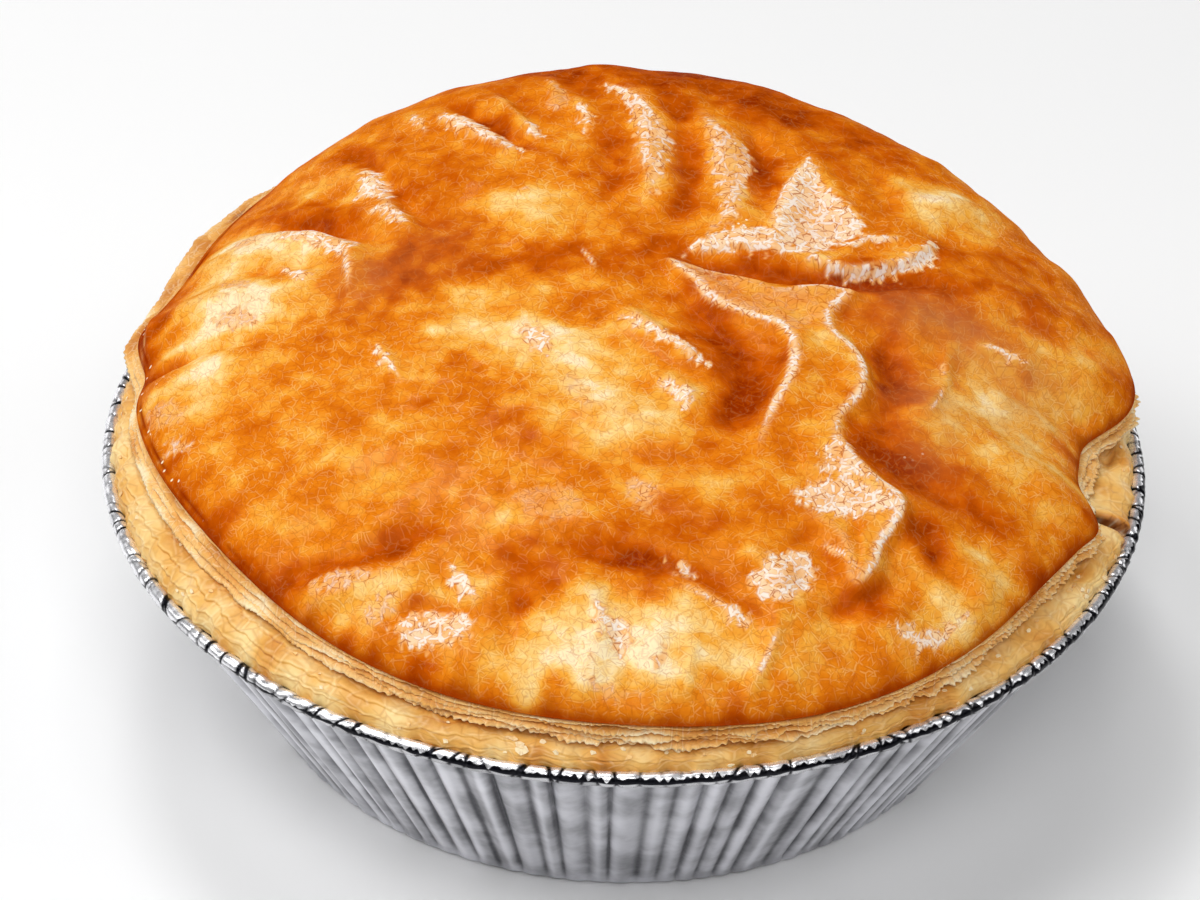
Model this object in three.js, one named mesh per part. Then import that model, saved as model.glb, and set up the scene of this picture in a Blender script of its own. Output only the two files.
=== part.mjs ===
// Steak pie: a solid pastry case in a thin fluted foil tin, under a puffed and folded flaky lid.
// Millimetres, +Z up. The table is at z = 0, the tin's axis is the Z axis, and the front faces -Y.
import * as THREE from 'three';

const DEGREE = Math.PI / 180;

// Tin: a round foil dish with a fluted wall and a rolled rim
const RIM_RADIUS = 62.5;       // outside of the rolled rim
const RIM_HEIGHT = 31.0;       // middle of the rolled rim above the table
const BEAD_RADIUS = 0.85;      // half the thickness of the roll
const BASE_RADIUS = 43.6;      // flat foot
const CORNER_RUN = 1.8;        // how far the bend between foot and wall reaches outwards
const CORNER_RISE = 1.7;       // how high that bend reaches
const WALL_TOP_RADIUS = 60.2;  // middle of the flutes just under the rim
const WALL_TOP_HEIGHT = 29.2;
const COLLAR_RADIUS = 61.3;    // plain ledge between the flutes and the roll
const COLLAR_HEIGHT = 30.0;
const FOIL = 0.5;              // thickness of the wall and the foot
const FLUTES = 112;
const FLUTE_DEPTH = 0.45;      // half the height of a flute at the top of the wall
const FOOT_FLUTE_SHARE = 0.4;  // share of that depth which is left at the foot
const BEAD_ANGLES = [-50, 0, 50, 100, 150];

// Case: the lower crust and everything under the lid, as one solid
const CASE_COLUMNS = 92;
const CLEARANCE = 0.35;        // gap between neighbouring pieces
const CRUST_RADIUS = 60.3;     // outside of the crust's rim, within the rolled rim
const CRUST_TOP = 33.4;        // highest edge of the crust's rim, where the lid lies lowest
const CRUST_RAGGED = 0.35;     // how uneven the torn edge of the crust is
const TROUGH_DEPTH = 1.0;      // hollow in the crust where the lid has drawn back
const TROUGH_SHARE = 0.5;      // place of the hollow between the lid's edge and the crust's edge
// Edges of the crust's two torn layers, each as [steps inwards, share of the height above the tin's rim]
const CRUST_EDGES = [[0, 0], [0, 0.45], [2, 0.6], [1, 0.85], [4, 1]];

// Lid: a puffed sheet of flaky pastry
const LID_COLUMNS = 104;
const LID_THICKNESS = 2.7;
const LID_RADIUS = 58.9;       // glazed top, before its swells and dents
const LID_EDGE_HEIGHT = 36.8;  // glazed edge above the table, before its swells
const LID_TOP_HEIGHT = 51.3;   // plateau of the lid over the middle
const LID_TILT = 0.085;        // rise of the plateau for each millimetre towards the back
const LID_CROWN = 3.8;         // fall of the plateau at the left and right
const SHOULDER = { front: 4.0, back: 7.2 };       // how late the plateau turns down, to the edge
const SHOULDER_BEND = { front: 0.6, back: 0.44 }; // how steeply it meets the edge
const LEAF_SPREAD = 0.5;       // how far the leaves stand out of the glazed edge
const LEAF_RAGGED = 0.3;       // how uneven the torn edge of a leaf is
const LEAF_GROOVE = 0.55;      // depth of the gap between two leaves
// Leaves from the lowest up, each as [share of the spread, share of the thickness below the glaze], and the
// groove under each of them
const LEAVES = [[1, 0.84], [0.7, 0.5], [0.1, 0.2]];
const GROOVES = [[0, 1], [0.8, 0.66], [0.2, 0.34]];
const PLEATS = 31;             // small radial pleats round the shoulder
const PLEAT_RISE = 0.45;
const PLEAT_PLACE = 0.87;      // share of the radius where the pleats are highest
const PLEAT_REACH = 0.14;
const PLEAT_DRIFT = 3;         // how often round the pie the pleats bunch up
const PLEAT_LULLS = 5;         // how often round the pie they flatten

// Torn edges: waves round the pie, each as [count, turn of the wave from one layer to the next]
const RAGGED_WAVES = [[7, 2.1], [17, 4.7], [31, 1.3]];

// Swells and dents round the pie, each as [place in degrees, spread in degrees, millimetres]
const GLAZE_SWELLS = [
  [-146, 26, -3.3], [-68, 16, 1.4], [-34, 12, -1.4], [-9.5, 7.5, -6.4], [7, 8, 2.6], [147, 16, -1.4],
];
const LEAF_FANS = [[-150, 24, 2.4], [-10, 8, 1.5], [148, 24, 3.0]];
const EDGE_LIFTS = [[-146, 30, 1.6], [60, 30, 2.0], [120, 42, 4.0]];
const PLATEAU_SWELLS = [[62, 16, -1.3], [36, 9, 0.6], [24, 8, -0.3]];

// Folds of the lid, back to front: a path over the plan, its rise (a hollow's is negative) and half its
// width. Squareness 2 is a rounded fold, and a larger one has a flat top with crisp edges.
const ROUNDED = 2;
const FLAT_TOPPED = 5;
const FOLDS = [
  { path: [[-3, 45], [0.5, 36], [2, 27], [2.2, 20]], rise: 1.3, half: 2.4, square: ROUNDED },
  { path: [[8, 39], [11.5, 29], [11, 18], [10, 12]], rise: 1.3, half: 2.8, square: ROUNDED },
  { path: [[-24, 42], [-18, 35], [-12, 29]], rise: -1.3, half: 1.9, square: ROUNDED },
  { path: [[-28, 41], [-22, 34], [-16, 29]], rise: 1.1, half: 2.2, square: ROUNDED },
  { path: [[-35, 30], [-31, 22], [-27, 15]], rise: 1.2, half: 2.3, square: ROUNDED },
  { path: [[-47, 25], [-38, 18.5], [-31, 13]], rise: -1.2, half: 2.0, square: ROUNDED },
  { path: [[-49, 20], [-40, 15.5], [-34, 9.5], [-33, 2]], rise: 1.4, half: 2.6, square: ROUNDED },
  { path: [[16.5, 13], [18.5, 22], [21.8, 30]], rise: 1.3, half: 1.9, square: ROUNDED },
  { path: [[20, 10.5], [26, 9.4], [32, 11], [36, 16]], rise: 1.2, half: 1.8, square: ROUNDED },
  { path: [[7, 8.5], [16, 6.6], [26, 6.8], [35, 7.5]], rise: -1.5, half: 2.2, square: ROUNDED },
  { path: [[10, 3], [18, -1], [22.5, -9], [21, -18], [19.5, -26]], rise: 1.8, half: 4.4, square: FLAT_TOPPED },
  { path: [[21, -27], [28, -31], [28.5, -37], [24, -45]], rise: 1.5, half: 2.6, square: ROUNDED },
  { path: [[8, -3], [13, -9], [12.5, -17], [11, -24]], rise: -1.1, half: 3.0, square: ROUNDED },
  { path: [[31, -2], [31.5, -12], [29.5, -20], [38, -28]], rise: -1.3, half: 2.8, square: ROUNDED },
  { path: [[-1, -2], [4, -6], [9, -11]], rise: 1.0, half: 1.8, square: ROUNDED },
  { path: [[-38, -41], [-29, -40], [-20, -38]], rise: -1.0, half: 1.8, square: ROUNDED },
  { path: [[-34, -45], [-25, -43.5], [-17, -45]], rise: 1.0, half: 2.2, square: ROUNDED },
  { path: [[-6, -41], [4, -43], [13, -46]], rise: -1.0, half: 2.2, square: ROUNDED },
];
const FOLD_STEPS = 16;
const FOLD_LINES = FOLDS.map((fold) => ({ ...fold, line: foldLine(fold.path) }));

// Rings of the lid from its edge to its middle, as shares of the radius
const TOP_SHARES = [
  0.985, 0.955, 0.92, 0.88, 0.835, 0.79, 0.74, 0.69, 0.64, 0.585, 0.53, 0.475, 0.42, 0.36, 0.29, 0.21, 0.11, 0,
];
const UNDER_SHARES = [0, 0.3, 0.55, 0.75, 0.88];

function foldLine(path) {
  const curve = new THREE.SplineCurve(path.map(([x, y]) => new THREE.Vector2(x, y)));
  return curve.getPoints(FOLD_STEPS);
}

// Sum of rounded swells at an angle
function swell(angle, rows) {
  let total = 0;
  for (const [place, spread, amount] of rows) {
    const turn = angle - place * DEGREE;
    const away = Math.atan2(Math.sin(turn), Math.cos(turn)) / (spread * DEGREE);
    total += amount * Math.exp(-away * away);
  }
  return total;
}

// Uneven torn edge: the mean of waves that never line up, between -1 and 1
function ragged(angle, layer) {
  const waves = RAGGED_WAVES.map(([count, turn]) => Math.sin(count * angle + turn * layer));
  return waves.reduce((sum, wave) => sum + wave, 0) / waves.length;
}

function glazeRadius(angle) {
  return LID_RADIUS + swell(angle, GLAZE_SWELLS);
}

function leafRadius(angle) {
  return glazeRadius(angle) + LEAF_SPREAD + swell(angle, LEAF_FANS);
}

function edgeHeight(angle) {
  return LID_EDGE_HEIGHT + swell(angle, EDGE_LIFTS);
}

// The crust's rim rises with the lid, so that the two stay close all round
function crustTop(angle) {
  return CRUST_TOP + swell(angle, EDGE_LIFTS);
}

// Smooth lid: a plateau that turns down over a shoulder to the edge, steeper towards the back
function domeHeight(angle, share) {
  const radius = share * glazeRadius(angle);
  const x = radius * Math.cos(angle);
  const y = radius * Math.sin(angle);
  const back = Math.max(0, Math.sin(angle));
  const power = THREE.MathUtils.lerp(SHOULDER.front, SHOULDER.back, back);
  const bend = THREE.MathUtils.lerp(SHOULDER_BEND.front, SHOULDER_BEND.back, back);
  const edge = edgeHeight(angle);
  const crown = LID_CROWN * (x / LID_RADIUS) ** 2;
  const plateau = LID_TOP_HEIGHT + LID_TILT * y - crown + share * share * swell(angle, PLATEAU_SWELLS);
  return edge + (plateau - edge) * (1 - share ** power) ** bend;
}

// Folds and hollows of the lid at a point of the plan, falling away on both sides of each path
function foldHeight(x, y) {
  let total = 0;
  const here = new THREE.Vector2(x, y);
  for (const { line, rise, half, square } of FOLD_LINES) {
    const away = Math.min(...line.map((point) => point.distanceTo(here)));
    total += rise * Math.exp(-((away / half) ** square));
  }
  return total;
}

// Radial pleats where the lid turns down to its edge
function pleatHeight(angle, share) {
  const window = Math.exp(-(((share - PLEAT_PLACE) / PLEAT_REACH) ** 2));
  const wave = Math.cos(PLEATS * angle + Math.sin(PLEAT_DRIFT * angle));
  const lull = THREE.MathUtils.mapLinear(Math.sin(PLEAT_LULLS * angle), -1, 1, 0.2, 1);
  return PLEAT_RISE * window * wave * lull;
}

// Closed body of rings about the Z axis. Each ring gives its radius and height at an angle, and the rings
// run from the axis underneath, round the outside, to the axis on top.
function turnedBody(rings, columns) {
  const profile = rings.map((ring, row) => new THREE.Vector2(1, row));
  const geometry = new THREE.LatheGeometry(profile, columns);
  const position = geometry.getAttribute('position');
  for (let column = 0; column <= columns; column += 1) {
    const angle = (2 * Math.PI * (column % columns)) / columns;
    rings.forEach((ring, row) => {
      const [radius, height] = ring(angle, column);
      const index = column * rings.length + row;
      position.setXYZ(index, radius * Math.cos(angle), radius * Math.sin(angle), height);
    });
  }
  geometry.computeVertexNormals();
  return geometry;
}

// Ring of the tin, with every other column standing out as a flute
function tinRing(radius, height, depth = 0) {
  return (angle, column) => [radius + (column % 2 ? depth : -depth), height];
}

function tinBody() {
  const footDepth = FOOT_FLUTE_SHARE * FLUTE_DEPTH;
  const wallRun = WALL_TOP_RADIUS - BASE_RADIUS - CORNER_RUN;
  const wallRise = WALL_TOP_HEIGHT - CORNER_RISE;
  const inward = FOIL * Math.hypot(wallRun, wallRise) / wallRise;
  const beadMiddle = RIM_RADIUS - BEAD_RADIUS;
  const bead = BEAD_ANGLES.map((degrees) => tinRing(
    beadMiddle + BEAD_RADIUS * Math.cos(degrees * DEGREE),
    RIM_HEIGHT + BEAD_RADIUS * Math.sin(degrees * DEGREE),
  ));
  return turnedBody([
    tinRing(0, 0),
    tinRing(BASE_RADIUS, 0),
    tinRing(BASE_RADIUS + CORNER_RUN, CORNER_RISE, footDepth),
    tinRing(WALL_TOP_RADIUS, WALL_TOP_HEIGHT, FLUTE_DEPTH),
    tinRing(COLLAR_RADIUS, COLLAR_HEIGHT),
    ...bead,
    tinRing(WALL_TOP_RADIUS - inward, WALL_TOP_HEIGHT + FOIL, FLUTE_DEPTH),
    tinRing(BASE_RADIUS + CORNER_RUN - inward, CORNER_RISE + FOIL, footDepth),
    tinRing(BASE_RADIUS - FOIL, FOIL),
    tinRing(0, FOIL),
  ], 2 * FLUTES);
}

// Lower crust: it fills the tin, stands out in two torn layers under the lid, and dips into a hollow where
// the lid has drawn back from the rim
function caseBody() {
  const floor = FOIL + CLEARANCE;
  const wallGap = 2 * FOIL + FLUTE_DEPTH + CLEARANCE;
  const crust = CRUST_EDGES.map(([steps, lift], layer) => (angle) => [
    CRUST_RADIUS - steps * CRUST_RAGGED + CRUST_RAGGED * Math.min(0, ragged(angle, layer)),
    THREE.MathUtils.lerp(RIM_HEIGHT + BEAD_RADIUS, crustTop(angle), lift),
  ]);
  const trough = (angle) => {
    const inner = glazeRadius(angle);
    const outer = CRUST_RADIUS;
    const gap = THREE.MathUtils.clamp((outer - inner) / (outer - LID_RADIUS) - 1, 0, 1);
    return [THREE.MathUtils.lerp(inner, outer, TROUGH_SHARE), crustTop(angle) - gap * TROUGH_DEPTH];
  };
  const underLid = UNDER_SHARES.toReversed().map((share) => (angle) => [
    share * glazeRadius(angle),
    domeHeight(angle, share) - LID_THICKNESS - CLEARANCE,
  ]);
  const seat = (angle) => [
    glazeRadius(angle) - LEAF_GROOVE,
    Math.min(crustTop(angle), edgeHeight(angle) - LID_THICKNESS - CLEARANCE),
  ];
  return turnedBody([
    () => [0, floor],
    () => [BASE_RADIUS - wallGap, floor],
    () => [BASE_RADIUS + CORNER_RUN - wallGap, CORNER_RISE + floor],
    () => [WALL_TOP_RADIUS - wallGap, WALL_TOP_HEIGHT],
    ...crust,
    trough,
    seat,
    ...underLid,
  ], CASE_COLUMNS);
}

// Lid: a smooth underside, an edge of torn leaves that fan out as they go down, and a folded top
function lidBody() {
  const under = UNDER_SHARES.map((share) => (angle) => [
    share * glazeRadius(angle),
    domeHeight(angle, share) - LID_THICKNESS,
  ]);
  const edgeRing = ([fan, drop], offset) => (angle) => [
    THREE.MathUtils.lerp(glazeRadius(angle), leafRadius(angle), fan) + offset(angle),
    edgeHeight(angle) - drop * LID_THICKNESS,
  ];
  const edge = LEAVES.flatMap((leaf, layer) => [
    edgeRing(GROOVES[layer], () => -LEAF_GROOVE),
    edgeRing(leaf, (angle) => LEAF_RAGGED * ragged(angle, layer)),
  ]);
  const glazedEdge = (angle) => [glazeRadius(angle), edgeHeight(angle)];
  const top = TOP_SHARES.map((share) => (angle) => {
    const radius = share * glazeRadius(angle);
    const folds = foldHeight(radius * Math.cos(angle), radius * Math.sin(angle));
    return [radius, domeHeight(angle, share) + folds + pleatHeight(angle, share)];
  });
  return turnedBody([...under, ...edge, glazedEdge, ...top], LID_COLUMNS);
}

function piece(name, geometry, colour, roughness, metalness) {
  const material = new THREE.MeshStandardMaterial({ color: colour, roughness, metalness });
  const mesh = new THREE.Mesh(geometry, material);
  mesh.name = name;
  return mesh;
}

const pie = new THREE.Group();
pie.add(piece('foil_tin', tinBody(), 0xb8bac0, 0.3, 1));
pie.add(piece('pastry_case', caseBody(), 0xe2b56c, 0.75, 0));
pie.add(piece('pastry_lid', lidBody(), 0xd9822b, 0.3, 0));

export default pie;
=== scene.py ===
"""Looks of a steak pie in its foil tin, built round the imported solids.

Arrays are in millimetres in the solids' frame, +Z up with the pie's front towards -Y, and become metres when
a mesh is made. A direction round the pie is an angle from +X, anticlockwise seen from above.
"""
import math

import bpy
import numpy as np
from mathutils import Matrix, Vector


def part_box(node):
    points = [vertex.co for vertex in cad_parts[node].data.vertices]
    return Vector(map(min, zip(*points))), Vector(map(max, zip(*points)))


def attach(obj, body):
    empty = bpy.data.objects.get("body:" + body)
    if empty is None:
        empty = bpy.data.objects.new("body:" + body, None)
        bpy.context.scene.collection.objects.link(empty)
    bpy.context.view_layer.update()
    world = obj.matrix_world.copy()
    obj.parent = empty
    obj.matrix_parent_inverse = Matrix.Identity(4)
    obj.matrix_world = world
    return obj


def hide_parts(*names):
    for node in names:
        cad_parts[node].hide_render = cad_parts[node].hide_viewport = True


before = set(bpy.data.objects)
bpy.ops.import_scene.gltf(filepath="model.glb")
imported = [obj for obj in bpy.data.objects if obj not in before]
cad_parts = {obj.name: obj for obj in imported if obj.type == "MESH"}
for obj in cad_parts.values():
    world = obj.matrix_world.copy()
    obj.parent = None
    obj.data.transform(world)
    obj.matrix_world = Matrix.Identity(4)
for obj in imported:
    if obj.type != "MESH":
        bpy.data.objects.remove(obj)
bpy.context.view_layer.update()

MM = 0.001
FULL_TURN = 2 * math.pi
TINY = 1e-9

# Tin, in the sizes of its solid
RIM_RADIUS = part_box("foil_tin")[1].x / MM
RIM_HEIGHT = 31.0
BASE_RADIUS = 43.6
CORNER_RUN = 1.8
CORNER_RISE = 1.7
CORNER_STEPS = 5
WALL_TOP_RADIUS = 60.2
WALL_TOP_HEIGHT = 29.2
WALL_STEPS = 34
WALL_DENT = 0.05
COLLAR_RADIUS = 61.3
COLLAR_HEIGHT = 30.0
FOIL = 0.5
FLUTES = 112
FLUTE_DEPTH = 0.6
FOOT_FLUTE_SHARE = 0.4
COLUMNS_PER_FLUTE = 16

# Painted light and shade of the wall, 0 dark to 1 bright, and places, widths and heights as shares of a flute
# and of the wall
EVEN_TONE = 0.5
PLAIN_TONE = 0.6
STROKE_PLACES = (0.3, 0.6)
STROKE_WIDTHS = (0.12, 0.24)
STROKE_TONES = (0.1, 0.5)
STROKE_HEIGHTS = (0.2, 0.8)
VALLEY_TONES = (0.15, 0.5)
VALLEY_WIDTH = 0.12
SHADE_STREAK_CHANCE = 0.35
SHADE_STREAK_TONE = 0.6
SHADE_STREAK_WIDTH = 0.05
SHADE_STREAK_HEIGHTS = (0.35, 0.85)
SHADE_STREAK_LENGTH = 0.14

# Rolled rim of the tin, pinched by creases painted in shade, with a dark band of painted reflection along it
# between two angles of its section
BEAD_RADIUS = 0.85
BEAD_COLUMNS = 2400
BEAD_ROWS = 20
BEAD_BUMP = 0.03
BEAD_CREASES = 190
CREASE_JITTER = 0.38
CREASE_DEPTHS = (0.04, 0.2)
CREASE_WIDTHS = (0.15, 0.28)
CREASE_SLANT = 0.006
CREASE_SHADE = 7.0
CREST_TONES = (0.72, 1.0)
BAND_TOP = 0.8
BAND_FOOT = 0.02

# Crust, the lower pastry that shows under the lid. Its slope goes out and up by powers of a quarter turn,
# the second of each pair where it is squared off, and a wide ledge has more layers
CRUST_COLUMNS = 1100
CRUST_ROWS = 54
CRUST_RADIUS = 60.3
CRUST_TOP = 33.4
CRUST_OUTER = 60.95
CRUST_FOOT = 31.3
CRUST_TUCK = 0.7
CRUST_OUT_POWERS = (0.7, 0.35)
CRUST_UP_POWERS = (0.85, 0.6)
CRUST_STEP = 0.07
CRUST_WAVE = 0.16
CRUST_LUMP = 0.04
CRUST_BAKE = 0.3
CRUST_CLOUD = 0.14
LAYER_COUNT = 2.4
LAYERS_PER_LEDGE = 0.45
LAYERED_LEDGE = 2.5
WIDEST_LEDGE = 4.0
LAYER_EDGE = 0.12
LAYER_THINNING = 1.2
CRUST_FOLD_DEPTH = 0.12
CRUST_FOLD_PLACE = 0.32
CRUST_FOLD_REACH = 0.035
CLEARANCE = 0.35
CRACK_PLACE = -16.0
CRACK_HALF = 0.75
CRACK_DEPTH = 3.8
CRACK_LIP_PLACE = 1.7
CRACK_LIP_RISE = 0.6
CRACK_LIP_REACH = 1.0
CRACK_SHADE = 2.2
HOLLOW_PLACE = -2.0
HOLLOW_RADIUS = 57.8
HOLLOW_DEPTH = 1.5
HOLLOW_REACH = (2.6, 1.2)

# Lid, a puffed sheet with a glazed top and torn leaves round its edge. Shoulders go from front to back,
# tears and tones from the upper leaf to the lower
LID_CELLS = 300
LID_THICKNESS = 2.7
LID_RADIUS = 58.9
LID_EDGE_HEIGHT = 36.8
LID_TOP_HEIGHT = 51.3
LID_TILT = 0.085
LID_CROWN = 3.8
SHOULDER = (4.0, 7.2)
SHOULDER_BEND = (0.6, 0.44)
SLACK_SHOULDER = (3.1, 0.76)
GLAZE_SKIN = 2.5
UNDER_SHARES = (0.975, 0.9, 0.7, 0.4)
RING_CROWDING = 1.3
LIP_RINGS = 5
LIP_DROP = 0.35
LIP_BULGE = 0.18
PLEATS = 31
PLEAT_RISE = 0.45
PLEAT_PLACE = 0.87
PLEAT_REACH = 0.14
PLEAT_BUNCHES = 3
PLEAT_FLATS = 5
LEAST_PLEAT = 0.2
EDGE_FADE = (0.965, 1.0)
BACK_LEVELLING = 0.75
BACK_SHARES = (0.72, 0.9)
BACK_SINES = (0.2, 0.6)
LEAVES = 4
LEAF_COLUMNS = 2600
LEAF_SPREAD = 0.55
LEAF_THICKNESS = 0.36
LEAF_DROOP = 0.25
LEAF_TUCK = 2.6
LEAF_WAVE = 0.12
LEAF_TEARS = (0.12, 0.4)
LEAF_TONES = (0.34, 0.16)
TEAR_TABS = 0.9
TEAR_SCALLOPS = 0.4
TEAR_TEETH = 0.34
TEAR_NICKS = 0.9

# Edge of the glaze, by the distance in from it: a raised lip, a narrow groove behind it, and where glints are
# painted on them
LIP_RISE = 0.35
LIP_PLACE = 0.5
LIP_REACH = 0.4
LIP_SHADE = 0.7
LIP_SHADE_REACH = 0.75
GROOVE_PLACE = 1.05
GROOVE_REACH = 0.27
GROOVE_SHADE = 0.95
GLEAM_REACH = 0.8
GLEAM = 0.34

# How dark the glaze is baked all over, and more in hollows, where painted shade adds to the baking, at the
# back and at the edge, and how far the outlines of browned and shaded ovals wander
GLAZE_BAKE = 0.42
HOLLOW_BAKE_AND_SHADE = 0.2
BACK_BAKE = 0.1
BACK_SPAN = (25, 58)
EDGE_BAKE = 0.34
EDGE_BAKE_REACH = 1.5
OVAL_WANDER = 0.8
OVAL_WANDER_LENGTH = 7

# Ripples over the lid: rise or amount, length in millimetres, seed
GLAZE_RIPPLES = [(0.12, 13, 11), (0.04, 5.5, 12), (0.012, 2.4, 13)]
GLAZE_FACETS = [(0.05, 3.1, 14), (0.03, 1.7, 15)]
BAKE_MOTTLES = [(0.05, 9, 41), (0.035, 3.4, 42)]
RAGGED_PATCHES = [(0.25, 2.2, 51), (0.25, 1.2, 52)]

# Uneven rings round the pie: amount, fewest and most waves, seed
CRUST_UNEVENNESS = [(0.14, 30, 90, 201), (0.08, 120, 260, 205)]
LAYER_WOBBLE = [(0.3, 5, 20, 202), (0.03, 60, 160, 203)]
FLUTE_DRIFT = [(0.8, 6, 22, 301), (0.4, 30, 60, 302)]
BAND_TEETH = [(0.2, 150, 500, 403), (0.12, 20, 90, 405)]

# Swells and dents round the pie: place in degrees, spread in degrees, millimetres or amount
GLAZE_SWELLS = [
    (-146, 26, -3.3), (-68, 16, 1.4), (-34, 12, -1.4), (-22.5, 2.5, 0.7), (-14, 5, -3.6), (-6.5, 5.5, -4.4),
    (7, 9, 2.6), (20, 10, 1.4), (134, 13, 1.4), (161, 7, -0.9), (172, 4, 0.8), (180.5, 4, -1.2),
]
SLACK_EDGES = [(-11, 14, 1.0), (149, 22, 1.0)]
EDGE_LIFTS = [(-146, 30, 1.6), (60, 30, 2.0), (120, 42, 4.0)]
EDGE_LIPS = [(160, 22, 1.0), (-160, 26, 1.0)]
EDGE_BAKES = [
    (174, 10, 1.6), (150, 20, 0.9), (-150, 40, 0.8), (-105, 25, 0.5), (30, 40, -0.2), (-14, 22, 0.6),
]
PLATEAU_SWELLS = [(62, 16, -1.3), (36, 9, 0.6), (24, 8, -0.3)]
LEAF_FANS = [(-150, 24, 1.9), (-10, 8, 2.2), (154, 24, 3.4)]
LEAF_LEVELLINGS = [(150, 28, 0.75)]
LEAF_CLOSINGS = [(-150, 40, 1.0), (150, 30, 0.8)]
LEAF_BAKES = [(150, 28, 0.18), (-8, 12, -0.14)]
LEAF_SAGS = [(-86, 8, 0.55), (-60, 7, 0.25), (-112, 9, 0.2), (-140, 9, 0.25), (-35, 6, 0.25)]
CRUST_SQUARINGS = [(150, 26, 1.0)]
CRUST_TREADS = [(-150, 40, 2.2)]
CRUST_BAKES = [(-8, 14, -0.14), (-90, 40, 0.06)]
BEAD_SHADES = [(-150, 34, -0.7), (170, 40, -0.7), (-5, 30, 0.2)]

# A leaf's section from its tucked inner edge outwards: shares of the way, of the droop and of the thickness
LEAF_SPANS = [(0.0, 0.0, 1.0), (0.6, 0.0, 1.0), (0.86, 0.3, 0.8), (0.97, 0.75, 0.5)]

# How much darker a leaf is painted along its section, from inside underneath, round its torn edge and back on
# top: painted shade inside, between the leaves, and painted light at the torn edge
LEAF_SECTION_SHADING = [0.5, 0.4, 0.2, 0.0, -0.15, 0.0, 0.1, 0.25, 0.4]

# Loose flakes: place and spread round the pie in degrees, how many, and the largest in millimetres
FLAKES = [
    (-99.4, 0.8, 4, 1.9), (-95, 16, 14, 0.9), (-60, 16, 14, 0.9), (-135, 18, 12, 0.9), (-7, 7, 5, 1.0),
    (-26, 6, 10, 1.2), (180, 20, 10, 0.8), (90, 40, 20, 0.8),
]
FLAKE_ROWS = (12, 46)
FLAKE_CORNERS = 7
FLAKE_THICKNESS = 0.1
FLAKE_SIZES = (0.5, 1.0)
FLAKE_TILT = 0.3
FLAKE_LIFTS = (0.4, 1.2)
FLAKE_JITTER = 0.3
FLAKE_REACHES = (0.6, 1.15)
FLAKE_NARROWING = 0.7
FLAKE_BAKES = (-0.1, 0.2)

# Raised tongue of the lid: its outline in plan, down its left side, round its tip and back up its right
# side, each with how much of the full rise the outline has there
TONGUE = [
    (4.2, 8.0, 0.7), (7.0, 3.8, 1.0), (9.2, 0.2, 1.0), (13.0, -2.2, 0.9), (17.2, -4.0, 1.1),
    (18.6, -7.5, 1.2), (18.2, -12.5, 1.1), (16.2, -18.0, 0.8), (15.0, -22.5, 0.4), (14.6, -27.0, 0.1),
    (16.0, -31.0, 0.1), (20.5, -34.0, 0.3), (24.0, -37.5, 0.5), (24.5, -42.0, 0.5), (26.0, -43.0, 0.6),
    (28.0, -40.0, 0.9), (28.8, -37.0, 1.0), (30.6, -33.5, 1.1), (31.0, -30.3, 1.1), (28.5, -28.0, 0.9),
    (25.6, -24.6, 0.9), (24.2, -21.0, 0.8), (25.0, -17.8, 0.8), (27.0, -14.5, 1.0), (27.5, -10.0, 1.0),
    (26.4, -6.0, 1.0), (23.8, -2.8, 0.9), (24.0, 0.4, 0.9), (26.3, 3.6, 1.0), (24.0, 4.8, 0.8),
    (20.8, 4.4, 0.8), (17.8, 3.1, 0.6), (13.6, 4.6, 0.6), (9.0, 6.6, 0.6),
]
TONGUE_RISE = 1.0
TONGUE_FOOT = (-1.5, 0.45)
TONGUE_DISH = 0.45
TONGUE_DISH_SPAN = (0.4, 4.5)
TONGUE_MARGIN = 4.0
TONGUE_CREST_PLACE = 0.35
TONGUE_CREST_REACH = (0.4, 0.8)
TONGUE_CREST_RISE = 0.12
# How strongly the tongue's crest is painted as a highlight
TONGUE_CREST_HIGHLIGHT = 0.95

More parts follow.
